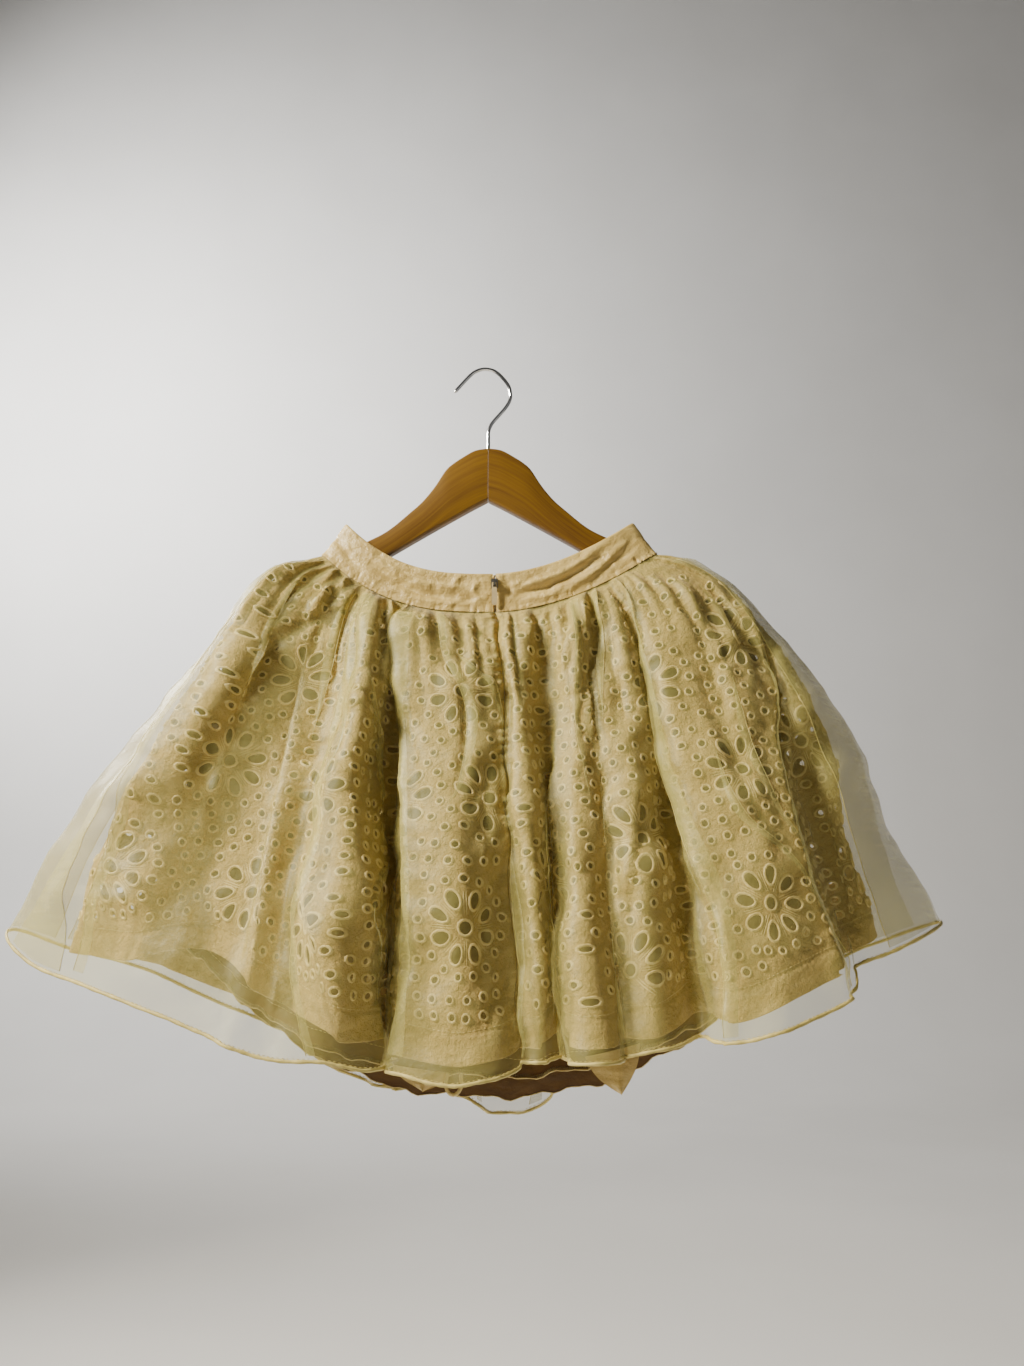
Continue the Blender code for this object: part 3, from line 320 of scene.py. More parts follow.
# Where the floor turns up into the wall, and the wall's height
WALL_BEND = 1.2
WALL_FOOT = 3.8
WALL_HEIGHT = 8.0
# Panels of the skirt: name, and the places of the folds where it starts and ends
PANELS = (("back_left", 0, 12), ("back_right", 12, 24), ("front", 24, 43))
# Shaping of the cloth by listed creases: depth, width, lip and a line of place and level.
# A depth below zero is a trough. With a lip, one side stands over the other like a folded edge:
# 1 for the side towards the right, -1 for the side towards the left.
CREASES = (
    (-1.8, 2.2, 0, ((10.17, 0.0), (10.25, 0.06))),
    (-2.4, 2.4, 0, ((10.6, 0.0), (11.17, 0.056), (11.58, 0.09), (11.55, 0.17))),
    (-4.2, 4.0, 0, ((9.8, 0.0), (9.92, 0.131), (10.17, 0.181), (10.5, 0.25), (10.5, 0.32), (10.17, 0.43),
                    (9.83, 0.5))),
    (3.6, 3.0, -1, ((10.1, 0.13), (10.6, 0.15), (11.0, 0.175), (11.5, 0.2), (11.75, 0.263), (11.8, 0.31))),
    (-3.4, 3.0, 0, ((14.33, 0.0), (13.92, 0.075), (13.25, 0.131))),
    (-3.4, 2.8, 0, ((14.83, 0.0), (14.17, 0.081), (13.58, 0.131))),
    (4.2, 3.0, 1, ((15.33, 0.0), (15.17, 0.088), (14.83, 0.138), (14.7, 0.2))),
    (6.4, 3.4, -1, ((16.17, 0.0), (16.08, 0.106), (16.05, 0.156), (15.85, 0.2), (15.8, 0.27),
                    (15.85, 0.35), (16.2, 0.42))),
    (9.0, 4.6, 1, ((17.6, 0.0), (17.75, 0.12), (18.0, 0.19), (17.8, 0.275), (18.0, 0.38), (18.2, 0.47),
                   (18.33, 0.55), (18.58, 0.68), (18.83, 0.76), (19.0, 0.825), (18.92, 0.925),
                   (18.85, 1.0))),
    (-8.0, 13.0, 0, ((17.8, 0.48), (17.95, 0.65), (18.1, 0.85), (18.1, 1.0))),
    (-3.0, 2.4, 0, ((19.92, 0.0), (19.42, 0.062), (19.42, 0.09))),
    (-5.2, 3.6, 0, ((20.6, 0.0), (19.85, 0.088), (19.75, 0.131), (20.1, 0.165))),
    (3.4, 3.4, -1, ((19.58, 0.2), (19.58, 0.331), (19.67, 0.425), (19.75, 0.5), (19.8, 0.57),
                    (20.1, 0.65), (20.5, 0.74))),
    (-2.6, 4.0, 0, ((19.75, 0.28), (20.0, 0.32), (19.83, 0.39))),
    (6.4, 4.0, -1, ((3.3, 0.0), (4.0, 0.06), (4.1, 0.113), (3.62, 0.163), (3.15, 0.244), (3.0, 0.32))),
    (4.6, 3.0, 1, ((3.8, 0.0), (4.4, 0.06), (4.35, 0.1), (4.4, 0.18), (4.3, 0.25))),
    (5.8, 3.4, 1, ((5.2, 0.0), (5.5, 0.075), (5.4, 0.14), (5.4, 0.22), (5.55, 0.31), (5.4, 0.4),
                   (5.2, 0.5), (5.0, 0.58))),
    (3.6, 2.6, -1, ((7.0, 0.0), (7.3, 0.06), (7.45, 0.12), (7.5, 0.2), (7.45, 0.27))),
    (8.5, 4.2, 1, ((8.4, 0.0), (8.5, 0.075), (8.45, 0.14), (8.45, 0.21), (8.5, 0.3), (8.75, 0.42),
                   (8.9, 0.48), (9.0, 0.58), (9.0, 0.68), (9.2, 0.75), (9.1, 0.84), (8.9, 0.92),
                   (8.85, 1.0))),
    (8.0, 4.6, -1, ((6.9, 0.47), (7.5, 0.54), (7.9, 0.61), (7.2, 0.665), (6.8, 0.72), (7.0, 0.78),
                    (7.15, 0.89), (7.4, 0.96), (7.5, 1.0))),
    (-11.0, 11.0, 0, ((7.9, 0.46), (7.8, 0.6), (7.55, 0.75), (7.6, 0.9), (7.7, 1.0))),
    (7.5, 4.2, 1, ((14.35, 0.26), (14.3, 0.38), (14.25, 0.49), (14.17, 0.6), (14.08, 0.756),
                   (14.25, 0.875), (14.5, 0.95), (14.67, 1.0))),
    (3.4, 2.4, -1, ((11.92, 0.52), (12.08, 0.62), (12.33, 0.72), (12.25, 0.81), (12.0, 0.9),
                    (11.75, 0.97))),
    (-3.0, 3.0, 0, ((4.5, 0.944), (4.83, 0.969), (5.25, 0.985))),
    (-9.0, 10.0, 0, ((16.0, 0.08), (16.6, 0.16), (16.9, 0.3), (16.9, 0.42))),
    (-11.0, 24.0, 0, ((4.1, 0.1), (4.17, 0.14), (3.75, 0.33), (3.5, 0.54), (3.42, 0.69), (3.25, 0.87))),
    (9.0, 17.0, 0, ((3.0, 0.04), (2.75, 0.19), (2.0, 0.35), (1.83, 0.53), (1.42, 0.67), (1.2, 0.85))),
    (7.0, 13.0, 0, ((6.3, 0.2), (6.17, 0.24), (5.7, 0.43), (5.6, 0.59), (5.5, 0.7), (6.0, 0.84),
                    (6.3, 1.0))),
    (-3.6, 4.0, 0, ((3.8, 0.46), (4.67, 0.445), (5.5, 0.41))),
    (-2.8, 3.4, 0, ((3.6, 0.585), (4.42, 0.562), (5.3, 0.5))),
    (3.0, 4.0, 0, ((3.9, 0.5), (4.6, 0.49), (5.3, 0.46))),
    (9.0, 4.8, -1, ((23.0, 0.12), (22.9, 0.2), (22.33, 0.3), (21.25, 0.463), (20.95, 0.59), (20.9, 0.73),
                    (21.2, 0.9), (21.1, 1.0))),
    (-9.0, 16.0, 0, ((22.6, 0.42), (22.3, 0.62), (22.6, 0.8), (22.7, 1.0))),
    (-5.0, 11.0, 0, ((19.9, 0.2), (19.8, 0.4), (20.0, 0.6))),
    (4.0, 3.6, 1, ((17.8, 0.0), (17.92, 0.11), (18.33, 0.18))),
    (-3.4, 3.0, 0, ((16.2, 0.0), (15.95, 0.18), (15.45, 0.32), (16.0, 0.41))),
    (-6.0, 8.0, 0, ((5.8, 0.1), (5.7, 0.22), (5.8, 0.36), (5.6, 0.5))),
    (4.4, 2.8, -1, ((5.9, 0.24), (6.6, 0.3), (7.1, 0.344), (7.2, 0.444), (7.0, 0.52))),
    (-2.0, 2.2, 0, ((9.4, 0.0), (9.35, 0.04))),
    (-2.6, 2.6, 0, ((4.5, 0.42), (5.0, 0.405), (5.35, 0.39))),
    (2.4, 3.2, 0, ((3.7, 0.56), (4.3, 0.54), (4.83, 0.525), (5.2, 0.51))),
    (-3.4, 5.0, 0, ((3.0, 0.5), (3.8, 0.5), (4.4, 0.475), (5.2, 0.44))),
    (2.6, 4.0, 0, ((3.75, 0.4), (3.83, 0.488), (4.0, 0.57))),
    (3.6, 4.0, 1, ((2.0, 0.5), (1.92, 0.4), (2.0, 0.344), (1.92, 0.27))),
    (3.0, 2.8, -1, ((6.7, 0.5), (7.2, 0.55), (7.7, 0.6))),
    (4.4, 3.2, -1, ((12.9, 0.5), (13.1, 0.6), (13.25, 0.75), (13.35, 0.9), (13.2, 1.0))),
    (-3.0, 4.2, 0, ((21.3, 0.83), (22.4, 0.92), (23.4, 0.98))),
    (5.0, 3.8, -1, ((17.1, 0.5), (17.08, 0.53), (16.83, 0.644), (16.58, 0.738), (16.6, 0.82))),
    (-2.2, 3.6, 0, ((11.3, 0.35), (11.0, 0.5), (11.1, 0.62))),
    (2.0, 4.6, 0, ((14.2, 0.3), (14.3, 0.45), (14.5, 0.62))),
    (-2.4, 4.6, 0, ((1.0, 0.35), (0.9, 0.5), (1.2, 0.66))),
    (-2.4, 4.0, 0, ((23.2, 0.25), (23.0, 0.45), (23.3, 0.66))),
    (2.0, 5.0, 0, ((7.9, 0.66), (7.6, 0.8), (7.9, 0.95))),
    (-2.0, 5.0, 0, ((10.9, 0.66), (10.8, 0.8), (11.1, 0.93))),
    (2.2, 4.0, 0, ((17.6, 0.55), (17.3, 0.7), (17.5, 0.9))),
    (3.0, 4.0, 1, ((19.2, 0.7), (19.0, 0.82), (19.3, 0.96))),
    (-2.2, 3.4, 0, ((12.7, 0.1), (13.3, 0.19), (13.9, 0.28), (14.1, 0.38))),
    (1.8, 3.0, 0, ((12.6, 0.2), (13.2, 0.21), (14.4, 0.205))),
    (-4.6, 3.0, 0, ((21.4, 0.0), (21.3, 0.07), (20.9, 0.15), (20.8, 0.24))),
    (8.0, 4.6, 1, ((22.2, 0.0), (22.0, 0.08), (21.8, 0.17), (21.9, 0.3))),
    (12.0, 15.0, 0, ((1.08, 0.131), (1.42, 0.388), (1.58, 0.638), (1.33, 0.825), (0.9, 0.956))),
    (-16.0, 20.0, 0, ((4.3, 0.169), (4.0, 0.388), (3.8, 0.6), (3.75, 0.781), (3.8, 0.96))),
    (-5.0, 3.4, 0, ((23.1, 0.0), (22.9, 0.08), (22.7, 0.17))),
    (4.6, 3.2, -1, ((1.4, 0.0), (1.8, 0.08), (1.9, 0.17), (1.7, 0.3))),
    (-4.4, 3.2, 0, ((2.4, 0.0), (2.7, 0.07), (2.7, 0.16), (2.4, 0.26))),
    (-4.0, 3.0, 0, ((0.6, 0.0), (0.8, 0.09), (0.8, 0.2))),
)
# Folds of the far side alone, in the same columns
FAR_CREASES = (
    (9.0, 13.0, 0, ((25.2, 0.05), (25.4, 0.25), (25.3, 0.6), (25.1, 1.0))),
    (8.0, 4.6, 1, ((26.5, 0.0), (26.6, 0.2), (26.4, 0.45), (26.5, 0.75), (26.3, 1.0))),
    (7.0, 11.0, 0, ((27.4, 0.1), (27.3, 0.4), (27.5, 0.8), (27.4, 1.0))),
    (9.0, 4.8, -1, ((28.6, 0.0), (28.5, 0.15), (28.7, 0.4), (28.5, 0.7), (28.6, 1.0))),
    (8.0, 12.0, 0, ((29.3, 0.15), (29.1, 0.5), (29.2, 1.0))),
    (-7.0, 9.0, 0, ((30.0, 0.3), (30.1, 0.6), (29.9, 1.0))),
    (8.5, 4.6, 1, ((30.9, 0.0), (30.8, 0.2), (31.0, 0.5), (30.8, 0.8), (30.9, 1.0))),
    (6.0, 9.0, 0, ((31.6, 0.05), (31.5, 0.3), (31.7, 0.55))),
    (8.0, 4.4, -1, ((32.6, 0.1), (32.5, 0.35), (32.7, 0.7), (32.6, 1.0))),
    (9.0, 12.0, 0, ((33.3, 0.2), (33.1, 0.6), (33.2, 1.0))),
    (8.0, 4.6, 1, ((34.6, 0.0), (34.7, 0.25), (34.5, 0.6), (34.7, 1.0))),
    (7.0, 10.0, 0, ((35.5, 0.1), (35.3, 0.4), (35.4, 0.9), (35.5, 1.0))),
    (9.0, 4.8, -1, ((36.5, 0.0), (36.4, 0.2), (36.6, 0.55), (36.4, 0.8), (36.5, 1.0))),
    (8.0, 11.0, 0, ((37.4, 0.15), (37.3, 0.5), (37.1, 1.0))),
    (-7.0, 9.0, 0, ((38.1, 0.25), (38.0, 0.6), (38.2, 1.0))),
    (8.0, 4.4, 1, ((38.8, 0.0), (38.9, 0.3), (38.7, 0.65), (38.9, 1.0))),
    (8.0, 12.0, 0, ((39.6, 0.1), (39.4, 0.5), (39.5, 1.0))),
    (8.5, 4.6, -1, ((40.7, 0.0), (40.6, 0.3), (40.8, 0.7), (40.6, 1.0))),
    (8.0, 12.0, 0, ((41.5, 0.1), (41.4, 0.5), (41.6, 1.0))),
)
# A crease is worked out in steps along its line, over the cloth within a reach in folds and levels
CREASE_STEPS = 14
CREASE_REACH = 3.0
CREASE_MARGIN = 0.09
# Form of a folded edge, as shares of its depth and width
LIP_HEIGHT = 0.55
LIP_SLOPE = 0.3
LIP_OVER_WIDTH = 2.4
LIP_UNDER_WIDTH = 1.4
# Small gathers and pleats under the waist seam, and soft wrinkles all over: counts, then spans of sizes
GATHERS = 110
GATHER_DEPTH = (1.0, 2.8)
GATHER_WIDTH = (1.4, 2.4)
GATHER_END = (0.05, 0.20)
GATHER_JITTER = (0.15, 0.85)
GATHER_DRIFT = 0.22
PLEATS = 30
PLEAT_DEPTH = (2.0, 4.2)
PLEAT_WIDTH = (2.4, 3.8)
PLEAT_END = (0.16, 0.5)
PLEAT_JITTER = (0.1, 0.9)
PLEAT_DRIFT = 0.3
PUFF_PITCH = (8.0, 21.0)
PUFF_HEIGHT = (3.2, 6.6)
PUFF_END = (0.16, 0.46)
PUFF_DRIFT = 0.25
PUFF_METRE_LEVEL = 0.05
# Uneven cloth: spread in steps round and down the skirt, and height
UNEVEN = ((2.2, 3.2, 0.55), (4.6, 8.0, 1.6), (11.0, 24.0, 4.0))
WRINKLES = 260
WRINKLE_DEPTH = (-2.1, 1.8)
WRINKLE_WIDTH = (3.0, 6.5)
WRINKLE_LEVELS = (0.02, 0.11)
WRINKLE_STRETCH = 9.0
SEED = 24

# Lace pattern
ROW_STEP = 0.034
ROW_JITTER = 0.0022
FIRST_ROW = 0.03
LAST_ROW = 0.925
EYELET_STEP = 14.0
EYELET_JITTER = 0.9
EYELET_RADIUS = 2.6
EYELET_SIZES = (0.9, 1.08)
EYELET_POINTS = 9
RIM_WIDTH = 1.7
RIM_HEIGHT = 1.3
PETALS = 8
PETAL_POINTS = 12
PETAL_INNER_RADIUS = 14.5
PETAL_LENGTH = 14.0
PETAL_WIDTH = 10.2
FLOWER_CENTRE_RADIUS = 4.9
FLOWER_ROOM = 31.5
RING_RADIUS = 36.5
RING_EYELETS = 17
EYELET_ROOM = 10.2
EDGE_ROOM = 5.5
# How many of the last holes a new one is held against, and the room a hole keeps in the facets
RECENT_SPOTS = 260
HOLE_MARGIN = 1.18
# Satin stitches between the petals: points, reach from the flower's centre, and distance from the middle
SPOKE_POINTS = 6
SPOKE_REACH = (9.0, 27.0)
SPOKE_SHIFT = 0.9
NEAR_FLOWERS = (
    (1.5, 0.80), (3.0, 0.54), (3.6, 0.83), (4.0, 0.28), (5.4, 0.52), (5.5, 0.81), (7.8, 0.74),
    (8.8, 0.49), (10.2, 0.74), (10.4, 0.22), (11.2, 0.47), (13.8, 0.68), (16.5, 0.87), (17.1, 0.61),
    (18.3, 0.29), (19.9, 0.51), (20.0, 0.80), (21.3, 0.22), (22.5, 0.50), (23.6, 0.81),
)
FAR_FLOWER_LEVELS = (0.26, 0.50, 0.76)
FAR_FLOWERS_PER_LEVEL = (2, 3, 4)
FAR_FLOWER_MARGIN = 0.12
# Flowers of the far side between those of the even rows
FAR_FLOWERS_BETWEEN = (
    (26.1, 0.30), (27.3, 0.62), (30.3, 0.40), (31.4, 0.66), (33.5, 0.24), (35.4, 0.66),
    (36.6, 0.38), (40.2, 0.62), (41.2, 0.30), (39.0, 0.88), (33.7, 0.86), (28.6, 0.86),
)
# Levels between which the lace has holes, and where the plain band of its hem begins
HOLE_TOP = 0.036
HOLE_BOTTOM = 0.935
HEM_BAND_LEVEL = 0.945
# Every column of the grid is used above this level, and every second one below it
FINE_LEVEL = 0.32
# Every row of the grid is used above these levels, and every second one below them
LACE_FINE_ROWS = 0.25
ORGANZA_FINE_ROWS = 0.52
# Gaps at the seams of a panel, as places
LACE_INSET = 0.012
ORGANZA_INSET = 0.01
# Section of the lace's turned hem: level, height off the cloth, and drop
HEM_TURN = ((1.0, 0.0, 0.0), (1.0, -0.25, 0.45), (1.0, -0.85, 0.6), (1.0, -1.3, 0.2),
            (0.992, -1.4, 0.0), (0.972, -1.35, 0.0), (0.95, -1.2, 0.0))
# Scale of place and level in the flat pattern, which keeps its facets even
FLAT_PLACE = 22.0
FLAT_LEVEL = 380.0
ORGANZA_OFFSET_TOP = 0.8
ORGANZA_OFFSET = 3.8
OFFSET_LEVEL = 0.045
OVER_POWER = 1.6
LINING_OFFSET_TOP = 1.7
TURN_LEVEL = 0.1

FOLDS = np.array([row[1:] for row in NEAR_FOLDS + FAR_FOLDS], float)
COLUMN = {name: index for index, name in enumerate(FOLD_COLUMNS[1:])}
FOLD_COUNT = len(FOLDS)
SIDE_LEFT = 0
SIDE_RIGHT = len(NEAR_FOLDS) - 1
ZIP_FOLD = [row[0] for row in NEAR_FOLDS].index("zip_groove")

# Grid on which the cloth is shaped: steps to a fold, and steps down the skirt
STEPS_PER_FOLD = 16
GRID_ROWS = 241


# Curves and lines

def smoothstep(value):
    """Soft step from 0 to 1."""
    value = np.clip(value, 0.0, 1.0)
    return value * value * (3.0 - 2.0 * value)


def bell(distance, width):
    """Soft hump of height 1."""
    return np.exp(-(distance / width) ** 2)


def unit(vectors):
    return vectors / np.maximum(np.linalg.norm(vectors, axis=-1, keepdims=True), 1e-9)


def full_turn(count):
    """Even angles once round."""
    return np.arange(count) * 2.0 * math.pi / count


def circle(radius, count):
    """Points round a circle, as two rows of coordinates."""
    turns = full_turn(count)
    return radius * np.cos(turns), radius * np.sin(turns)


def hermite_weights(knots, at):
    """Matrix that turns values at the knots into a smooth curve at the given places."""
    knots = np.asarray(knots, float)
    at = np.asarray(at, float)
    last = len(knots) - 1
    slopes = np.zeros((last + 1, last + 1))
    for index in range(last + 1):
        low, high = max(index - 1, 0), min(index + 1, last)
        slopes[index, high] += 1.0 / (knots[high] - knots[low])
        slopes[index, low] -= 1.0 / (knots[high] - knots[low])
    span = np.clip(np.searchsorted(knots, at, side="left") - 1, 0, last - 1)
    width = knots[span + 1] - knots[span]
    share = (at - knots[span]) / width
    square, cube = share ** 2, share ** 3
    weights = np.zeros((len(at), last + 1))
    rows = np.arange(len(at))
    np.add.at(weights, (rows, span), 2 * cube - 3 * square + 1)
    np.add.at(weights, (rows, span + 1), 3 * square - 2 * cube)
    weights += ((cube - 2 * square + share) * width)[:, None] * slopes[span]
    weights += ((cube - square) * width)[:, None] * slopes[span + 1]
    return weights


def smooth_line(points, per_span):
    """Points along a smooth curve through a list of points."""
    points = np.asarray(points, float)
    last = len(points) - 1
    return hermite_weights(np.arange(last + 1), np.linspace(0, last, per_span * last + 1)) @ points


def lengths_along(points):
    """Distance from the start to each point of a line, or along each row of a grid."""
    steps = np.linalg.norm(np.diff(points, axis=0), axis=-1)
    return np.concatenate([np.zeros((1,) + steps.shape[1:]), np.cumsum(steps, axis=0)])


def read_line(points, lengths, at):
    """Points of a line at distances from its start."""
    return np.stack([np.interp(at, lengths, column) for column in points.T], -1)


def even_line(points, count):
    """Points at even distances along a line."""
    lengths = lengths_along(points)
    return read_line(points, lengths, np.linspace(0.0, lengths[-1], count))


def around(values, place):
    """Smooth closed curve through one value for each fold."""
    index = np.floor(place).astype(int)
    s = (place - index).reshape(place.shape + (1,) * (values.ndim - 1))
    a, b, c, d = (values[(index + step) % FOLD_COUNT] for step in (-1, 0, 1, 2))
    return 0.5 * (2 * b + (c - a) * s + (2 * a - 5 * b + 4 * c - d) * s ** 2
                  + (3 * b - a - 3 * c + d) * s ** 3)


# The smooth cloth

def drop_share(level):
    """Share of the whole drop reached at a level, slow at first where the gathers puff out."""
    slow = np.maximum(1.0 - level / PUFF_LEVEL, 0.0)
    return level * (1.0 - PUFF_SHARE * slow * slow)


def waist_angle(place):
    """Angle round the waist loop for any place among the folds."""
    place = np.asarray(place, float)
    across = np.clip((FOLDS[:, COLUMN["waist_x"]] - WAIST_CENTRE_X) / WAIST_HALF_WIDTH, -1.0, 1.0)
    turns = np.arccos(-across)
    far = np.arange(FOLD_COUNT) > SIDE_RIGHT
    turns[far] = 2.0 * math.pi - turns[far]
    index = np.floor(place).astype(int)

    def turn(step):
        laps, fold = np.divmod(index + step, FOLD_COUNT)
        return turns[fold] + 2.0 * math.pi * laps

    return turn(0) + (turn(1) - turn(0)) * (place - index)


def fold_angle(fold):
    """Angle round the waist loop at one fold."""
    return waist_angle(np.array([float(fold)]))[0]


def waist_loop(angle):
    """Points and outward directions on the waist seam."""
    angle = np.asarray(angle, float)
    across = -np.cos(angle)
    near = np.sin(angle) >= 0.0
    side = np.minimum(np.abs(across), 1.0)
    reach = (1.0 - side ** WAIST_SQUARENESS) ** (1.0 / WAIST_SQUARENESS)
    y = np.where(near, -1.0, 1.0) * WAIST_HALF_DEPTH * reach
    side_z = np.where(across < 0.0, SEAM_SIDE_LEFT_Z, SEAM_SIDE_RIGHT_Z)
    near_power = np.where(across < 0.0, SEAM_POWER_LEFT, SEAM_POWER_RIGHT)
    power = np.where(near, near_power, SEAM_POWER_FAR)
    middle_z = np.where(near, SEAM_NEAR_Z, SEAM_FAR_Z)
    z = middle_z + (side_z - middle_z) * side ** power
    steep = WAIST_SQUARENESS - 1.0
    x_out = np.sign(across) * side ** steep / WAIST_HALF_WIDTH
    y_out = np.sign(y) * (np.abs(y) / WAIST_HALF_DEPTH) ** steep / WAIST_HALF_DEPTH
    out = unit(np.stack([x_out, y_out, np.zeros_like(y)], -1))
    return np.stack([WAIST_CENTRE_X + WAIST_HALF_WIDTH * across, y, z], -1), out


def lace_points(places, levels):
    """Middle of the lace on a grid of places and levels, without creases."""
    waist, _ = waist_loop(waist_angle(places))
    hem = around(FOLDS, places)
    names = ("shoulder_x", "hip_x", "thigh_x", "hem_x")
    widths = np.stack([waist[:, 0]] + [hem[:, COLUMN[name]] for name in names])
    depths = np.stack([waist[:, 1] + (hem[:, COLUMN["hem_y"]] - waist[:, 1]) * share
                       for share in DEPTH_SHARES])
    weights = hermite_weights(LEVELS, levels)
    drop = drop_share(levels)
    x = (weights @ widths).T
    y = (weights @ depths).T
    z = waist[:, 2:] + (hem[:, [COLUMN["hem_z"]]] - waist[:, 2:]) * drop[None, :]
    return np.stack([x, y, z], -1)


def grid_normals(points, closed=True):
    """Outward directions of a grid of places by levels, from its neighbours."""
    if closed:
        ring = np.concatenate([points[-3:-1], points, points[1:3]])
        along = ring[3:-1] - ring[1:-3]
    else:
        along = np.gradient(points, axis=0)
    return unit(np.cross(np.gradient(points, axis=1), along))


def read_grid(field, place, level):
    """Values of a grid of places by levels, read between its points."""
    columns, rows = field.shape[:2]
    i = np.clip(place * STEPS_PER_FOLD, 0, columns - 1.001)
    j = np.clip(level * (rows - 1), 0, rows - 1.001)
    i0, j0 = i.astype(int), j.astype(int)
    shape = i.shape + (1,) * (field.ndim - 2)
    a, b = (i - i0).reshape(shape), (j - j0).reshape(shape)
    top = field[i0, j0] * (1 - a) + field[i0 + 1, j0] * a
    bottom = field[i0, j0 + 1] * (1 - a) + field[i0 + 1, j0 + 1] * a
    return top * (1 - b) + bottom * b


class Cloth:
    """A layer of cloth on the grid of places and levels, read at any place."""

    def __init__(self, points):
        self.points = points
        self.normals = grid_normals(points)

    def read(self, place, level, height=0.0):
        """Points at places and levels, standing off the cloth by height."""
        out = unit(read_grid(self.normals, place, level))
        return read_grid(self.points, place, level) + out * np.asarray(height).reshape(-1, 1)


class Pattern:
    """Lengths measured on the smooth lace, which place its holes and stitching in millimetres."""

    def __init__(self, base):
        self.length = lengths_along(base)
        per_place = np.gradient(base, axis=0) * STEPS_PER_FOLD
        per_level = np.gradient(base, axis=1) * (base.shape[1] - 1)
        across = unit(per_place)
        self.shear = (per_level * across).sum(-1)
        self.drop = np.linalg.norm(per_level - across * self.shear[..., None], axis=-1)
        self.apart = 10.0 * self.length.max()
        rows = np.arange(base.shape[1])[:, None] * self.apart
        self.keys = (self.length.T + rows).ravel()

    def place_at(self, length, level):
        """Places that lie a length round the skirt from its left side, at levels."""
        columns, rows = self.length.shape
        row = np.clip(np.round(level * (rows - 1)).astype(int), 0, rows - 1)
        length = np.clip(length, 0.0, self.length[-1, row] - 0.01)
        index = np.searchsorted(self.keys, length + row * self.apart, side="right") - 1
        index = np.clip(index - row * columns, 0, columns - 2)
        low, high = self.length[index, row], self.length[index + 1, row]
        return (index + (length - low) / np.maximum(high - low, 1e-9)) / STEPS_PER_FOLD

    def around_centre(self, place, level, across, down):
        """Places and levels of points given in millimetres from a centre on the cloth."""
        place, level = np.broadcast_to(place, across.shape), np.broadcast_to(level, across.shape)
        step = down / read_grid(self.drop, place, level)
        there = np.clip(level + step, 0.0, 1.0)
        start = read_grid(self.length, place, np.round(there * (GRID_ROWS - 1)) / (GRID_ROWS - 1))
        return self.place_at(start + across - step * read_grid(self.shear, place, level), there), there

    def flat(self, place, level):
        """Coordinates on the flat cloth, in millimetres."""
        return np.stack([read_grid(self.length, place, level), level * FLAT_LEVEL], -1)


# Creases, gathers and unevenness

def add_crease(relief, base, line, depth, width, lip=0):
    """Add a soft trough or ridge, or a folded edge, along a line of places and levels."""
    path = smooth_line(line, CREASE_STEPS)
    columns, rows = base.shape[0] - 1, base.shape[1] - 1
    low = int(math.floor((path[:, 0].min() - CREASE_REACH) * STEPS_PER_FOLD))
    high = int(math.ceil((path[:, 0].max() + CREASE_REACH) * STEPS_PER_FOLD)) + 1
    top = max(int((path[:, 1].min() - CREASE_MARGIN) * rows), 0)
    bottom = min(int((path[:, 1].max() + CREASE_MARGIN) * rows) + 2, rows + 1)
    wanted = np.arange(low, high) % columns
    window = base[wanted][:, top:bottom]
    i = np.round(path[:, 0] * STEPS_PER_FOLD).astype(int) % columns
    j = np.clip(path[:, 1] * rows, 0, rows - 0.001)
    j0 = j.astype(int)
    b = (j - j0)[:, None]
    spots = base[i, j0] * (1 - b) + base[i, j0 + 1] * b
    distance = np.full(window.shape[:2], 1e9)
    share = np.zeros(window.shape[:2])
    side = np.zeros(window.shape[:2])
    places = (np.arange(low, high) / STEPS_PER_FOLD)[:, None] + np.zeros((1, window.shape[1]))
    for index, spot in enumerate(spots):
        away = np.linalg.norm(window - spot, axis=-1)
        nearer = away < distance
        distance[nearer] = away[nearer]
        share[nearer] = index / (len(spots) - 1)
        side[nearer] = places[nearer] - path[index, 0]
    fade_in = 1.0 if path[0, 1] < 0.01 else smoothstep(share / 0.2)
    fade_out = 1.0 if path[-1, 1] > 0.99 else smoothstep((1.0 - share) / 0.3)
    if lip == 0:
        shape = depth * bell(distance, width)
    else:
        across = distance * np.sign(side) * lip
        over = 0.5 + 0.5 * np.tanh(across / (LIP_SLOPE * width))
        shape = (LIP_HEIGHT * depth * over * bell(across, LIP_OVER_WIDTH * width)
                 - depth * (1.0 - over) * bell(across, LIP_UNDER_WIDTH * width))
    relief[wanted, top:bottom] += shape * fade_in * fade_out


def spread(field, sigma, axis, closed):
    """Field blurred along an axis."""
    reach = int(3 * sigma) + 1
    weights = np.exp(-0.5 * (np.arange(-reach, reach + 1) / sigma) ** 2)
    weights /= weights.sum()
    pad = [(0, 0), (0, 0)]
    pad[axis] = (reach, reach)
    wide = np.pad(field, pad, mode="wrap" if closed else "reflect")
    return np.apply_along_axis(lambda line: np.convolve(line, weights, mode="valid"), axis, wide)


def uneven_cloth(shape, rng):
    """Soft bumps and hollows of three sizes all over the cloth."""
    result = np.zeros(shape)
    for round_steps, down_steps, height in UNEVEN:
        field = rng.normal(size=(shape[0] - 1, shape[1]))
        field = spread(spread(field, round_steps, 0, True), down_steps, 1, False)
        result[:-1] += height * field / field.std()
    result[-1] = result[0]
    return result


def lining_reach(name, at_waist, levels):
    """How far the lining reaches to one side at the levels."""
    column = LINING_COLUMNS.index(name)
    return np.interp(levels, LINING_LEVELS, [at_waist] + [row[column] for row in LINING_RINGS])


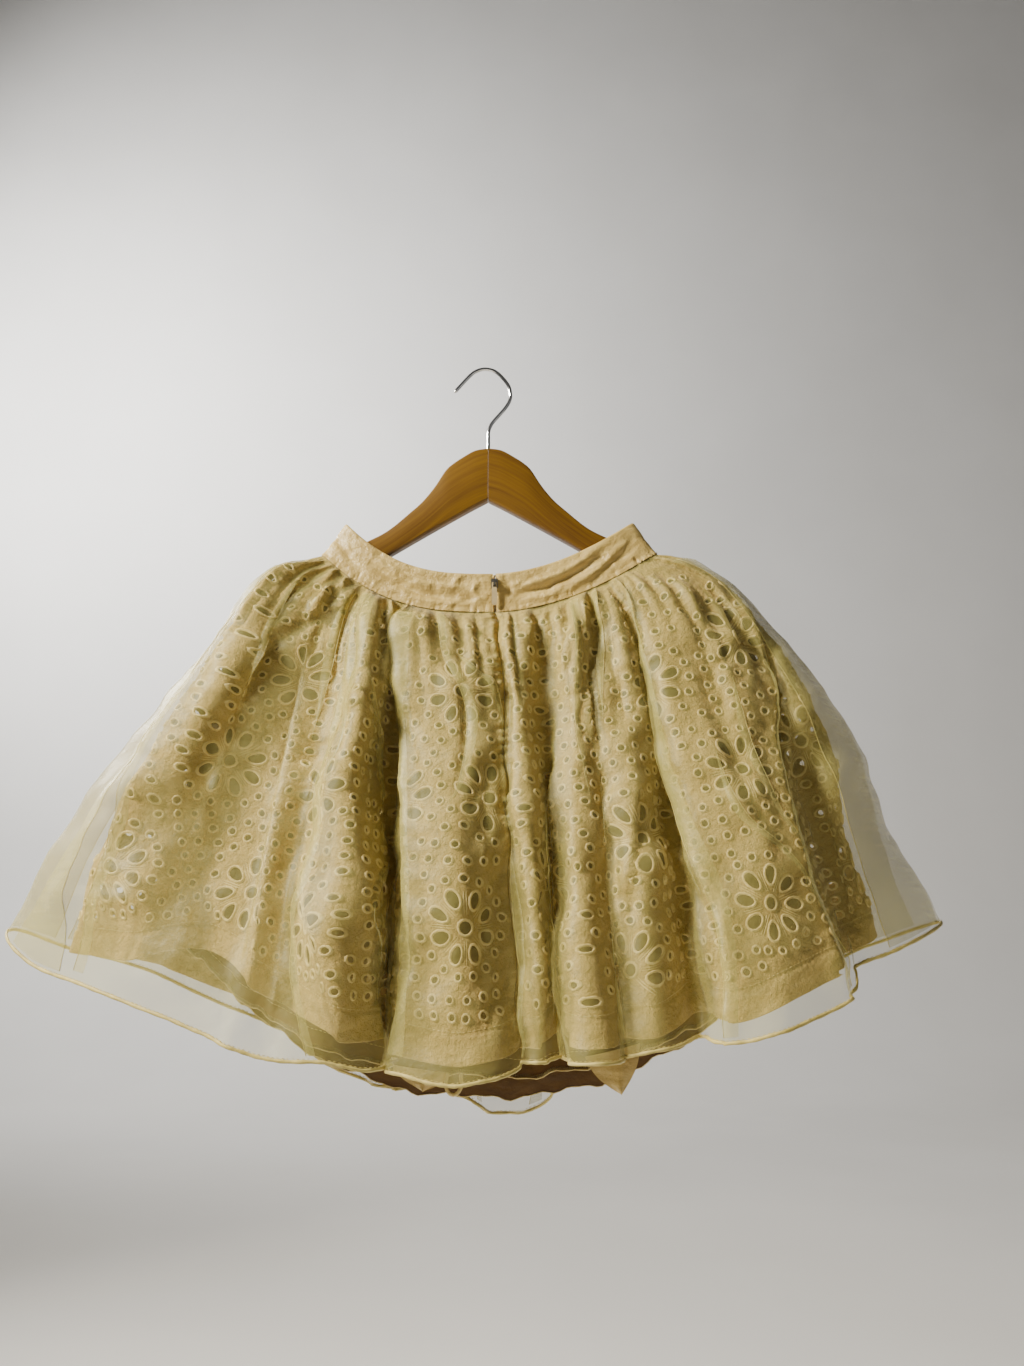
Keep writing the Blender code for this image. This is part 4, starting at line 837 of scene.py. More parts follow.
def room_inside(base, levels):
    """How far the cloth may go inwards at each place and level without meeting the lining."""
    left = lining_reach("left_x", WAIST_CENTRE_X - WAIST_HALF_WIDTH, levels)
    right = lining_reach("right_x", WAIST_CENTRE_X + WAIST_HALF_WIDTH, levels)
    near = lining_reach("near_y", -WAIST_HALF_DEPTH, levels)
    far = lining_reach("far_y", WAIST_HALF_DEPTH, levels)
    x, y = base[..., 0], base[..., 1]
    room = np.maximum.reduce([left - x, x - right, near - y, y - far])
    return np.maximum(0.75 * room - 1.0, 0.9)


def gather_puffs(base, places, levels, rng):
    """Rounded pleats with sharp creases between them, fading out down the skirt."""
    row = int(PUFF_METRE_LEVEL * (base.shape[1] - 1))
    length = lengths_along(base[:, row])
    edges = [0.0]
    while edges[-1] < length[-1] - PUFF_PITCH[1]:
        edges.append(edges[-1] + rng.uniform(*PUFF_PITCH))
    edges = np.interp(np.array(edges + [length[-1]]), length, places)
    count = len(edges)
    drift = rng.uniform(-PUFF_DRIFT, PUFF_DRIFT, (2, count))
    drift[:, [0, -1]] = 0.0
    height = np.append(rng.uniform(*PUFF_HEIGHT, count - 1), 0.0)
    end = np.append(rng.uniform(*PUFF_END, count - 1), 1.0)
    result = np.zeros(base.shape[:2])
    for index, level in enumerate(levels):
        share = min(level / 0.35, 1.0)
        line = np.maximum.accumulate(edges + drift[0] * share + drift[1] * math.sin(6.0 * share) * 0.4)
        phase = np.interp(places, line, np.arange(count))
        pleat = np.clip(phase.astype(int), 0, count - 2)
        wave = np.abs(np.sin(math.pi * phase)) ** 0.6 - 0.5
        fade = 1.0 - smoothstep((level / end[pleat] - 0.35) / 0.65)
        result[:, index] = height[pleat] * wave * fade * smoothstep(level / 0.03)
    return result


def mirrored(place):
    """Place on the far side opposite a place on the near side."""
    return SIDE_RIGHT + (SIDE_RIGHT - place) * (FOLD_COUNT - SIDE_RIGHT) / SIDE_RIGHT


def line_from_waist(index, count, jitter, ends, drifts, lean, rng):
    """One of several lines that run down from the waist seam and drift to one side."""
    place = FOLD_COUNT * (index + rng.uniform(*jitter)) / count
    end = rng.uniform(*ends)
    drift = rng.uniform(-drifts, drifts)
    return (place, 0.0), (place + lean * drift, 0.4 * end), (place + drift, end)


def shape_relief(base, rng):
    """Heights of the creases, gathers and wrinkles over the smooth cloth."""
    relief = np.zeros(base.shape[:2])
    for depth, width, lip, line in CREASES:
        add_crease(relief, base, line, depth, width, lip)
        far = [(mirrored(place) + 0.35, min(level * 1.04, 1.0)) for place, level in line]
        add_crease(relief, base, far, 0.8 * depth, width, -lip)
    for depth, width, lip, line in FAR_CREASES:
        add_crease(relief, base, line, depth, width, lip)
    for index in range(GATHERS):
        line = line_from_waist(index, GATHERS, GATHER_JITTER, GATHER_END, GATHER_DRIFT, 0.4, rng)
        sign = -1.0 if index % 2 else 0.8
        add_crease(relief, base, line, sign * rng.uniform(*GATHER_DEPTH), rng.uniform(*GATHER_WIDTH))
    for index in range(PLEATS):
        line = line_from_waist(index, PLEATS, PLEAT_JITTER, PLEAT_END, PLEAT_DRIFT, 0.3, rng)
        lip = int(rng.integers(-1, 2))
        depth = rng.uniform(*PLEAT_DEPTH) * (1.0 if lip else -1.0)
        add_crease(relief, base, line, depth, rng.uniform(*PLEAT_WIDTH), lip)
    for _ in range(WRINKLES):
        place, level = rng.uniform(0, FOLD_COUNT), rng.uniform(0.1, 0.95)
        turn = rng.uniform(0.0, math.pi)
        half = rng.uniform(*WRINKLE_LEVELS)
        dx, dy = math.cos(turn) * half * WRINKLE_STRETCH, math.sin(turn) * half
        start, end = (place - dx, max(level - dy, 0.0)), (place + dx, min(level + dy, 1.0))
        line = (start, (place + 0.2 * dx, level), end)
        add_crease(relief, base, line, rng.uniform(*WRINKLE_DEPTH), rng.uniform(*WRINKLE_WIDTH))
    levels = np.linspace(0.0, 1.0, base.shape[1])
    relief += gather_puffs(base, np.linspace(0, FOLD_COUNT, base.shape[0]), levels, rng)
    relief += uneven_cloth(relief.shape, rng) * (0.35 + 0.65 * smoothstep(levels / 0.1))
    room = room_inside(base, levels)
    relief = np.where(relief < 0.0, -room * np.tanh(-relief / room), relief)
    relief[-1] = relief[0]
    return relief


def seam_relief(places, levels):
    """Heights of the groove at the zip with its puckered lips, and of the side seams."""
    beside = np.abs(places - ZIP_FOLD) * ZIP_PLACE
    below_zip = smoothstep((levels - ZIP_END_LEVEL - 0.03) / 0.04)[None, :]
    along_zip = np.sin(levels * 210.0 + 4.0 * np.sin(levels * 37.0)) + 0.7 * np.sin(levels * 96.0 + 1.0)
    puckers = bell(beside - PUCKER_DISTANCE, PUCKER_WIDTH)[:, None] * along_zip[None, :]
    puckers = puckers * np.where(places < ZIP_FOLD, 1.0, 0.8)[:, None]
    groove = bell(beside, GROOVE_WIDTH)[:, None]
    lips = bell(beside - ZIP_LIP_DISTANCE, ZIP_LIP_WIDTH)[:, None]
    seams = (ZIP_PUCKER * puckers * (1.0 - 0.5 * below_zip) - GROOVE_DEPTH * groove * (1.0 - 0.7 * below_zip)
             + ZIP_LIP * lips * (1.0 - 0.6 * below_zip))
    for place in (SIDE_LEFT, SIDE_RIGHT, FOLD_COUNT):
        seams = seams - SIDE_SEAM_DEPTH * bell((places - place) * SIDE_PLACE, SIDE_SEAM_WIDTH)[:, None]
    return seams


def cloth_layers(rng):
    """Pattern of the smooth lace, and the lace and organza with their creases."""
    places = np.linspace(0, FOLD_COUNT, FOLD_COUNT * STEPS_PER_FOLD + 1)
    levels = np.linspace(0.0, 1.0, GRID_ROWS)
    base = lace_points(places, levels)
    from_zip = (places - ZIP_FOLD) * ZIP_PLACE
    wander = np.sin(levels * 34.0 + 1.5 * np.sin(levels * 13.0)) * smoothstep(levels / 0.05)
    base[..., 0] += ZIP_WANDER * bell(from_zip, ZIP_WANDER_WIDTH)[:, None] * wander[None, :]
    _, out = waist_loop(waist_angle(places))
    turn = smoothstep(levels / TURN_LEVEL)[None, :, None]
    normal = unit(out[:, None, :] * (1.0 - turn) + grid_normals(base) * turn)
    relief = shape_relief(base, rng) * (1.0 - ZIP_QUIET * bell(from_zip, ZIP_QUIET_WIDTH)[:, None])
    at_seam = smoothstep(levels / 0.012)[None, :]
    seams = seam_relief(places, levels)
    band = 0.55 * smoothstep((levels - HEM_BAND_LEVEL) / 0.004)[None, :]
    groove = -0.7 * bell(levels - HEM_BAND_LEVEL, 0.0035)[None, :]
    lace_relief = (relief + seams) * at_seam + band + groove
    lace = base + normal * lace_relief[..., None]
    lace[-1] = lace[0]
    over = around(FOLDS[:, [COLUMN[name] for name in ("over_x", "over_y", "over_z")]], places)
    rise = (ORGANZA_OFFSET - ORGANZA_OFFSET_TOP) * smoothstep(levels / OFFSET_LEVEL)
    own = np.zeros(base.shape[:2])
    for depth, width, line in ORGANZA_CREASES:
        add_crease(own, base, line, depth, width)
        add_crease(own, base, [(mirrored(place) - 0.3, level) for place, level in line], depth, width)
    for _ in range(3):
        relief[:, 1:-1] = 0.5 * relief[:, 1:-1] + 0.25 * (relief[:, :-2] + relief[:, 2:])
        relief[1:-1] = 0.5 * relief[1:-1] + 0.25 * (relief[:-2] + relief[2:])
    organza_relief = (0.92 * relief + 0.8 * seams + own) * at_seam
    height = np.maximum((ORGANZA_OFFSET_TOP + rise)[None, :] + organza_relief, lace_relief + 0.9)
    organza = base + normal * height[..., None] + over[:, None, :] * (levels ** OVER_POWER)[None, :, None]
    organza[-1] = organza[0]
    return Pattern(base), Cloth(lace), Cloth(organza)


# Mesh pieces

def add_object(name, data):
    """New object in the scene."""
    result = bpy.data.objects.new(name, data)
    bpy.context.scene.collection.objects.link(result)
    return result


def add_piece(name, points, faces, surface, slot, uv=None, sharp=None):
    """Mesh piece from points in millimetres, riding on the skirt; uv is in millimetres on the cloth."""
    mesh = bpy.data.meshes.new(name)
    mesh.from_pydata((np.asarray(points, float) * MM).tolist(), [], [list(map(int, face)) for face in faces])
    mesh.validate()
    mesh.shade_smooth()
    if sharp is not None:
        mesh.set_sharp_from_angle(angle=math.radians(sharp))
    if uv is not None:
        layer = mesh.uv_layers.new(name="cloth")
        corners = np.zeros(len(mesh.loops), int)
        mesh.loops.foreach_get("vertex_index", corners)
        layer.data.foreach_set("uv", (np.asarray(uv, float) * MM)[corners].ravel())
    mesh.materials.append(surface)
    piece = add_object(name, mesh)
    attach(piece, "skirt")
    return piece


def joined(parts):
    """Several (points, faces) put together."""
    points, faces, base = [], [], 0
    for part_points, part_faces in parts:
        points.append(part_points)
        faces += [[int(index) + base for index in face] for face in part_faces]
        base += len(part_points)
    return np.concatenate(points), faces


def add_trim(name, parts, surface, slot):
    """Piece joined from threads, strips and the like."""
    points, faces = joined(parts)
    return add_piece(name, points, faces, surface, slot, uv=points[:, [0, 2]])


def grid_faces(columns, rows):
    """Quads of a grid stored column by column."""
    i, j = (part.ravel() for part in np.meshgrid(np.arange(columns - 1), np.arange(rows - 1), indexing="ij"))
    return np.stack([i * rows + j, i * rows + j + 1, (i + 1) * rows + j + 1, (i + 1) * rows + j], -1)


def ring_faces(rings, sides):
    """Quads between closed rings stored one after another."""
    i, j = (part.ravel() for part in np.meshgrid(np.arange(rings - 1), np.arange(sides), indexing="ij"))
    after = (j + 1) % sides
    return np.stack([i * sides + j, i * sides + after, (i + 1) * sides + after, (i + 1) * sides + j], -1)


def closed_faces(rings, sides):
    """Faces of a closed tube: quads between its rings, and a cap at each end."""
    faces = ring_faces(rings, sides).tolist()
    faces.append(list(range(sides - 1, -1, -1)))
    faces.append([(rings - 1) * sides + k for k in range(sides)])
    return faces


def tube(path, radius, sides=8, squash=1.0, up=(0.0, 0.0, 1.0)):
    """Closed tube along a path, flattened along up by squash."""
    path = np.asarray(path, float)
    along = unit(np.gradient(path, axis=0))
    side = unit(np.cross(along, np.broadcast_to(np.asarray(up, float), path.shape)))
    rise = unit(np.cross(side, along))
    turns = full_turn(sides)
    radius = np.broadcast_to(np.asarray(radius, float), (len(path),))[:, None, None]
    ring = (side[:, None] * np.cos(turns)[None, :, None]
            + rise[:, None] * np.sin(turns)[None, :, None] * squash) * radius
    return (path[:, None] + ring).reshape(-1, 3), closed_faces(len(path), sides)


def stitches(path, normals, length, gap, radius, lift, wobble, rng):
    """Short thread stitches along a path, as flattened lozenges standing on the cloth."""
    lengths = lengths_along(path)
    parts = []
    for start in np.arange(0.0, lengths[-1] - length, length + gap):
        at = start + length * np.array([0.0, 0.25, 0.75, 1.0])
        spot = read_line(path, lengths, at) + rng.uniform(-wobble, wobble, 3)
        out = unit(read_line(normals, lengths, at))
        rise = np.array([0.15, 1.0, 1.0, 0.15])[:, None]
        thick = np.array([0.35, 1.0, 1.0, 0.35])
        parts.append(tube(spot + out * lift * rise, radius * thick, sides=5, up=out))
    return joined(parts)


# Materials

def new_material(name):
    result = bpy.data.materials.new(name)
    result.use_nodes = True
    tree = result.node_tree
    return result, tree, tree.nodes["Principled BSDF"]


def set_values(target, **values):
    """Set inputs or settings of a shader node; an underscore stands for a space in an input's name."""
    for key, value in values.items():
        socket = target.inputs.get(key.replace("_", " "))
        if socket is None:
            setattr(target, key, value)
        else:
            socket.default_value = value


def node(tree, kind, **values):
    """Shader node with its inputs or settings given by name."""
    result = tree.nodes.new(kind)
    set_values(result, **values)
    return result


def stretched(tree, source, scale):
    """Coordinates stretched by a scale along each axis."""
    mapping = node(tree, "ShaderNodeMapping", Scale=scale)
    tree.links.new(source, mapping.inputs["Vector"])
    return mapping.outputs["Vector"]


def cloth_place(tree):
    """Coordinates on the flat cloth."""
    return node(tree, "ShaderNodeUVMap", uv_map="cloth").outputs["UV"]


def noise(tree, vector, scale, detail=3.0, roughness=0.55):
    texture = node(tree, "ShaderNodeTexNoise", Scale=scale, Detail=detail, Roughness=roughness)
    tree.links.new(vector, texture.inputs["Vector"])
    return texture.outputs["Fac"]


def combined(tree, operation, first, second):
    """Two shader values put together by an operation."""
    result = node(tree, "ShaderNodeMath", operation=operation)
    tree.links.new(first, result.inputs[0])
    tree.links.new(second, result.inputs[1])
    return result.outputs[0]


def bump(tree, height, distance, strength=1.0, before=None):
    result = node(tree, "ShaderNodeBump", Strength=strength, Distance=distance)
    tree.links.new(height, result.inputs["Height"])
    if before is not None:
        tree.links.new(before, result.inputs["Normal"])
    return result.outputs["Normal"]


def colour_mix(tree, factor, low, high, start=0.35, end=0.65):
    """Colour that runs between two as a factor rises."""
    ramp = tree.nodes.new("ShaderNodeValToRGB")
    for element, position, colour in zip(ramp.color_ramp.elements, (start, end), (low, high)):
        element.position = position
        element.color = (*colour, 1.0)
    tree.links.new(factor, ramp.inputs["Fac"])
    return ramp.outputs["Color"]


def woven(name, colours, roughness, thread, crinkle, grain=0.0, slub=(1.0, 1.0), **values):
    """Cloth with crossing threads, a crinkled surface and a slightly uneven colour."""
    result, tree, shader = new_material(name)
    flat = cloth_place(tree)
    place = tree.nodes.new("ShaderNodeTexCoord").outputs["Object"]
    mottled = noise(tree, stretched(tree, flat, (*slub, 1.0)), 90.0, 4.0)
    tree.links.new(colour_mix(tree, mottled, *colours), shader.inputs["Base Color"])
    threads = []
    for direction in ("X", "Y"):
        wave = node(tree, "ShaderNodeTexWave", Scale=WAVE_PERIOD / (thread[0] * MM), Distortion=1.2,
                    bands_direction=direction)
        tree.links.new(flat, wave.inputs["Vector"])
        threads.append(wave.outputs["Fac"])
    surface = bump(tree, noise(tree, place, 1.0 / (crinkle[0] * MM), 4.0, 0.6), crinkle[1] * MM)
    if grain:
        surface = bump(tree, noise(tree, place, 1.0 / (GRAIN_SIZE * MM), 3.0), grain * MM, 1.0, surface)
    crossing = combined(tree, "MAXIMUM", *threads)
    tree.links.new(bump(tree, crossing, thread[1] * MM, 0.8, surface), shader.inputs["Normal"])
    set_values(shader, Roughness=roughness, **values)
    return result


def wood_material():
    """Varnished wood with fine and broad grain along the arm."""
    result, tree, shader = new_material("varnished_wood")
    flat = cloth_place(tree)
    grain = noise(tree, stretched(tree, flat, (6.0, 190.0, 1.0)), 1.6, 6.0, 0.62)
    broad = noise(tree, stretched(tree, flat, (4.0, 26.0, 1.0)), 1.2, 3.0)
    halved = node(tree, "ShaderNodeMath", operation="MULTIPLY")
    halved.inputs[1].default_value = 0.5
    tree.links.new(combined(tree, "ADD", grain, broad), halved.inputs[0])
    colour = colour_mix(tree, halved.outputs[0], WOOD_DARK, WOOD_LIGHT, 0.36, 0.62)
    tree.links.new(colour, shader.inputs["Base Color"])
    tree.links.new(bump(tree, grain, 0.06 * MM), shader.inputs["Normal"])
    set_values(shader, Roughness=0.38, Coat_Weight=0.35, Coat_Roughness=0.22)
    return result


def metal_material(name, colour, roughness, metallic=1.0):
    """Metal or enamel with fine scratches and a slightly worn colour."""
    result, tree, shader = new_material(name)
    place = tree.nodes.new("ShaderNodeTexCoord").outputs["Object"]
    scratches = noise(tree, stretched(tree, place, (1.0, 1.0, 0.15)), 1.0 / (SCRATCH_SIZE * MM), 3.0)
    dull = node(tree, "ShaderNodeMapRange", To_Min=0.7 * roughness, To_Max=1.5 * roughness)
    tree.links.new(scratches, dull.inputs["Value"])
    tree.links.new(dull.outputs["Result"], shader.inputs["Roughness"])
    shade = tuple(0.82 * part for part in colour)
    worn = noise(tree, place, 120.0, 3.0)
    tree.links.new(colour_mix(tree, worn, shade, colour), shader.inputs["Base Color"])
    tree.links.new(bump(tree, scratches, 0.01 * MM), shader.inputs["Normal"])
    set_values(shader, Metallic=metallic)
    return result


# Holes of the lace

def flower_list(start, end):
    """Flower centres of a panel, as place and level."""
    if start != SIDE_RIGHT:
        return [flower for flower in NEAR_FLOWERS if start < flower[0] < end]
    flowers = list(FAR_FLOWERS_BETWEEN)
    span = FOLD_COUNT - SIDE_RIGHT
    for level, count in zip(FAR_FLOWER_LEVELS, FAR_FLOWERS_PER_LEVEL):
        for number in range(count):
            share = FAR_FLOWER_MARGIN + (1.0 - 2.0 * FAR_FLOWER_MARGIN) * (number + 0.5) / count
            flowers.append((SIDE_RIGHT + span * share, level))
    return flowers


def turned_by(turn, sideways, outward):
    """Across and down of points given sideways and outwards from a centre, turned round it."""
    return (outward * math.sin(turn) + sideways * math.cos(turn),
            outward * math.cos(turn) - sideways * math.sin(turn))


def flower_holes(place, level):
    """Teardrop petals and centre of a flower: centre, outline in millimetres from it, and not small."""
    turns = full_turn(PETAL_POINTS)
    outward = PETAL_INNER_RADIUS + 0.5 * PETAL_LENGTH * (1.0 - np.cos(turns))
    narrow = np.sin(turns) * (0.72 + 0.28 * np.sin(0.5 * turns) ** 2)
    sideways = 0.5 * PETAL_WIDTH * narrow
    holes = []
    for petal in range(PETALS):
        turn = 2.0 * math.pi * (petal + 0.5) / PETALS
        holes.append((place, level, *turned_by(turn, sideways, outward), False))
    holes.append((place, level, *circle(FLOWER_CENTRE_RADIUS, PETAL_POINTS), False))
    return holes


class Eyelets:
    """Places of a panel's small holes, clear of its flowers, its seams and each other."""

    def __init__(self, pattern, start, end, flowers):
        self.pattern = pattern
        self.first = pattern.length[int(start * STEPS_PER_FOLD)] + EDGE_ROOM
        self.last = pattern.length[int(end * STEPS_PER_FOLD)] - EDGE_ROOM
        self.flowers = flowers
        self.spots = []

    def apart(self, place, level, others, room):
        """Whether a place keeps clear of other places by room."""
        if not len(others):
            return True
        others = np.asarray(others)
        spot = (np.array([place]), np.array([level]))
        here = read_grid(self.pattern.length, *spot)
        drop = read_grid(self.pattern.drop, *spot)
        there = read_grid(self.pattern.length, others[:, 0], np.full(len(others), level))
        return np.hypot(here - there, (others[:, 1] - level) * drop).min() > room

    def add(self, place, level):
        """Keep a place where it is free."""
        row = int(round(level * (GRID_ROWS - 1)))
        here = read_grid(self.pattern.length, np.array([place]), np.array([row / (GRID_ROWS - 1)]))[0]
        inside = HOLE_TOP < level < HOLE_BOTTOM - 0.012 and self.first[row] < here < self.last[row]
        if (inside and self.apart(place, level, self.flowers, FLOWER_ROOM)
                and self.apart(place, level, self.spots[-RECENT_SPOTS:], EYELET_ROOM)):
            self.spots.append((place, level))

    def add_ring(self, place, level):
        """Eyelets in a ring round a flower."""
        turns = (np.arange(RING_EYELETS) + 0.5) * 2.0 * math.pi / RING_EYELETS
        across, down = RING_RADIUS * np.sin(turns), RING_RADIUS * np.cos(turns)
        for spot in zip(*self.pattern.around_centre(place, level, across, down)):
            if self.apart(*spot, self.spots, EYELET_ROOM):
                self.add(*spot)

    def add_rows(self, rng):
        """Eyelets in staggered rows over the rest of the panel."""
        rings = list(self.spots)
        for number, level in enumerate(np.arange(FIRST_ROW, LAST_ROW, ROW_STEP)):
            row = int(round(level * (GRID_ROWS - 1)))
            first = self.first[row] + (0.5 * EYELET_STEP if number % 2 else 0.0)
            lengths = np.arange(first, self.last[row], EYELET_STEP)
            lengths = lengths + rng.uniform(-EYELET_JITTER, EYELET_JITTER, len(lengths))
            levels = level + rng.uniform(-ROW_JITTER, ROW_JITTER, len(lengths))
            for spot in zip(self.pattern.place_at(lengths, levels), levels):
                if self.apart(*spot, rings, EYELET_ROOM):
                    self.add(*spot)


def lace_holes(pattern, start, end, rng):
    """Flowers of a panel, and its holes: centre, outline in millimetres from it, and whether small."""
    flowers = flower_list(start, end)
    eyelets = Eyelets(pattern, start, end, flowers)
    for flower in flowers:
        eyelets.add_ring(*flower)
    eyelets.add_rows(rng)
    holes = [hole for flower in flowers for hole in flower_holes(*flower)]
    for place, level in eyelets.spots:
        radius = EYELET_RADIUS * rng.uniform(*EYELET_SIZES)
        holes.append((place, level, *circle(radius, EYELET_POINTS), True))
    return flowers, holes


def keep_hole(places, levels, columns):
    """Whether a hole's outline stays clear of its panel's edges."""
    return (places.min() > columns[0] + 0.05 and places.max() < columns[-1] - 0.05
            and levels.min() > HOLE_TOP - 0.015 and levels.max() < HOLE_BOTTOM)


def inside_outline(xs, ys, px, py):
    """Which points lie inside a closed outline."""
    result = np.zeros(len(px), bool)
    for ax, ay, bx, by in zip(xs, ys, np.roll(xs, -1), np.roll(ys, -1)):
        if ay == by:
            continue
        crosses = (ay > py) != (by > py)
        result ^= crosses & (px < (bx - ax) * (py - ay) / (by - ay) + ax)
    return result


def cut_lace(columns, rows, outlines):
    """Triangles of a flat panel with its holes left out, as places, levels and faces."""
    grid_place, grid_level = (part.ravel() for part in np.meshgrid(columns, rows, indexing="ij"))
    width, height = len(columns), len(rows)
    border = np.ones((width, height), bool)
    border[1:-1, 1:-1] = False
    border = border.ravel()
    sparse = (np.arange(width * height) // height % 2 == 1) & (grid_level > FINE_LEVEL)
    free = border | ~sparse
    flat_x, flat_y = grid_place * FLAT_PLACE, grid_level * FLAT_LEVEL
    outlines = [(places * FLAT_PLACE, levels * FLAT_LEVEL) for places, levels in outlines]
    for x, y in outlines:
        wide_x = x.mean() + (x - x.mean()) * HOLE_MARGIN
        wide_y = y.mean() + (y - y.mean()) * HOLE_MARGIN
        near = np.flatnonzero((flat_x > wide_x.min()) & (flat_x < wide_x.max())
                              & (flat_y > wide_y.min()) & (flat_y < wide_y.max()) & ~border)
        free[near[inside_outline(wide_x, wide_y, flat_x[near], flat_y[near])]] = False
    index = np.full(len(free), -1)
    index[free] = np.arange(free.sum())
    index = index.reshape(width, height)
    points = [Vector(spot) for spot in zip(flat_x[free], flat_y[free])]
    edges = []
    for line in (index[0], index[-1], index[:, 0], index[:, -1]):
        edges += [(int(a), int(b)) for a, b in zip(line[:-1], line[1:])]
    for x, y in outlines:
        first = len(points)
        points += [Vector(spot) for spot in zip(x, y)]
        edges += [(first + k, first + (k + 1) % len(x)) for k in range(len(x))]
    flat, _, faces, *_ = delaunay_2d_cdt(points, edges, [], 0, 1e-5)
    flat = np.array([tuple(point) for point in flat])
    faces = np.array(faces)
    middle = flat[faces].mean(axis=1)
    order = np.argsort(middle[:, 0])
    sorted_x = middle[order, 0]
    keep = np.ones(len(faces), bool)
    for x, y in outlines:
        near = order[np.searchsorted(sorted_x, x.min()):np.searchsorted(sorted_x, x.max())]
        near = near[(middle[near, 1] > y.min()) & (middle[near, 1] < y.max())]
        keep[near[inside_outline(x, y, middle[near, 0], middle[near, 1])]] = False
    return flat[:, 0] / FLAT_PLACE, flat[:, 1] / FLAT_LEVEL, faces[keep]


def rim_strips(cloth, pattern, holes):
    """Raised stitched rims round the holes."""
    parts = []
    for place, level, across, down, small in holes:
        mean_x, mean_y = across.mean(), down.mean()
        x, y = across - mean_x, down - mean_y
        radius = np.hypot(x, y)
        width = RIM_WIDTH if small else 1.2 * RIM_WIDTH
        profile = ((-0.12, -0.5), (0.1, 0.75 * RIM_HEIGHT), (0.6 * width, RIM_HEIGHT), (width, 0.05))
        rings = []
        for shift, height in profile:
            spot_x = mean_x + x + x / radius * shift
            spot_y = mean_y + y + y / radius * shift
            rings.append(cloth.read(*pattern.around_centre(place, level, spot_x, spot_y), height))
        parts.append((np.concatenate(rings), ring_faces(len(rings), len(x))))
    return joined(parts)


# Building

def panel_places(start, end, inset, step=1):
    """Places of the grid's columns over a panel, drawn in at its seams."""
    places = np.arange(start * STEPS_PER_FOLD, end * STEPS_PER_FOLD + 1, step) / STEPS_PER_FOLD
    places[0] += inset
    places[-1] -= inset
    return places


def panel_rows(fine_top, fine_bottom=1.0):
    """Levels of every second row of the grid, and of every row above one level and below another."""
    rows = np.linspace(0.0, 1.0, GRID_ROWS)
    return rows[(np.arange(GRID_ROWS) % 2 == 0) | (rows < fine_top) | (rows > fine_bottom)]


def build_lace(name, start, end, pattern, lace, cloths, rng):
    """Lace panel with its holes cut, its embroidery and its turned hem."""
    cotton, thread = cloths["eyelet_cotton"], cloths["embroidery_thread"]
    flowers, holes = lace_holes(pattern, start, end, rng)
    columns = panel_places(start, end, LACE_INSET)
    rows = panel_rows(LACE_FINE_ROWS, HEM_BAND_LEVEL - 0.02)
    outlines, kept = [], []
    for hole in holes:
        outline = pattern.around_centre(*hole[:4])
        if keep_hole(*outline, columns):
            outlines.append(outline)
            kept.append(hole)
    place, level, faces = cut_lace(columns, rows, outlines)
    uv = pattern.flat(place, level)
    piece = add_piece(f"lace_{name}", lace.read(place, level), faces[:, ::-1], cotton, "eyelet", uv=uv)
    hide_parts(f"eyelet_{name}")
    embroidery = [rim_strips(lace, pattern, kept), flower_stitches(lace, pattern, flowers, columns),
                  hem_stitches(lace, start, end, HEM_BAND_LEVEL - 0.006, rng)]
    return piece, [add_trim(f"stitching_{name}", embroidery, thread, "eyelet"),
                   add_trim(f"lace_hem_{name}", [hem_turn(lace, start, end)], cotton, "eyelet")]


def flower_stitches(cloth, pattern, flowers, columns):
    """Two satin stitches between each pair of petals."""
    parts = []
    reach = np.linspace(*SPOKE_REACH, SPOKE_POINTS)
    half = 0.42 * np.sin(np.linspace(0.12, 0.88, SPOKE_POINTS) * math.pi)
    for place, level in flowers:
        for petal in range(PETALS):
            turn = 2.0 * math.pi * petal / PETALS
            for shift in (-SPOKE_SHIFT, SPOKE_SHIFT):
                across, down = turned_by(turn, shift, reach)
                lines = []
                for side, height in ((-1.0, 0.0), (0.0, 0.45), (1.0, 0.0)):
                    x = across + side * half * math.cos(turn)
                    y = down - side * half * math.sin(turn)
                    places, levels = pattern.around_centre(place, level, x, y)
                    if places.min() < columns[0] or places.max() > columns[-1] or levels.max() > HOLE_BOTTOM:
                        break
                    lines.append(cloth.read(places, levels, height))
                else:
                    parts.append((np.concatenate(lines), grid_faces(len(lines), SPOKE_POINTS)))
    return joined(parts)


def hem_stitches(cloth, start, end, level, rng):
    """Row of small stitches along a level of the cloth."""
    place = np.arange(start * STEPS_PER_FOLD * 2 + 1, end * STEPS_PER_FOLD * 2) / (2.0 * STEPS_PER_FOLD)
    levels = np.full(len(place), level)
    path = cloth.read(place, levels)
    normals = cloth.read(place, levels, 1.0) - path
    return stitches(path, normals, 2.6, 1.3, 0.28, 0.25, 0.12, rng)


def hem_turn(cloth, start, end):
    """The lace's hem turned up inside: a rounded edge and a strip behind the band."""
    place = panel_places(start, end, LACE_INSET, 2)
    rows = []
    for level, height, drop in HEM_TURN:
        points = cloth.read(place, np.full(len(place), level), height)
        points[:, 2] -= drop
        rows.append(points)
    return np.stack(rows, axis=1).reshape(-1, 3), grid_faces(len(place), len(rows))


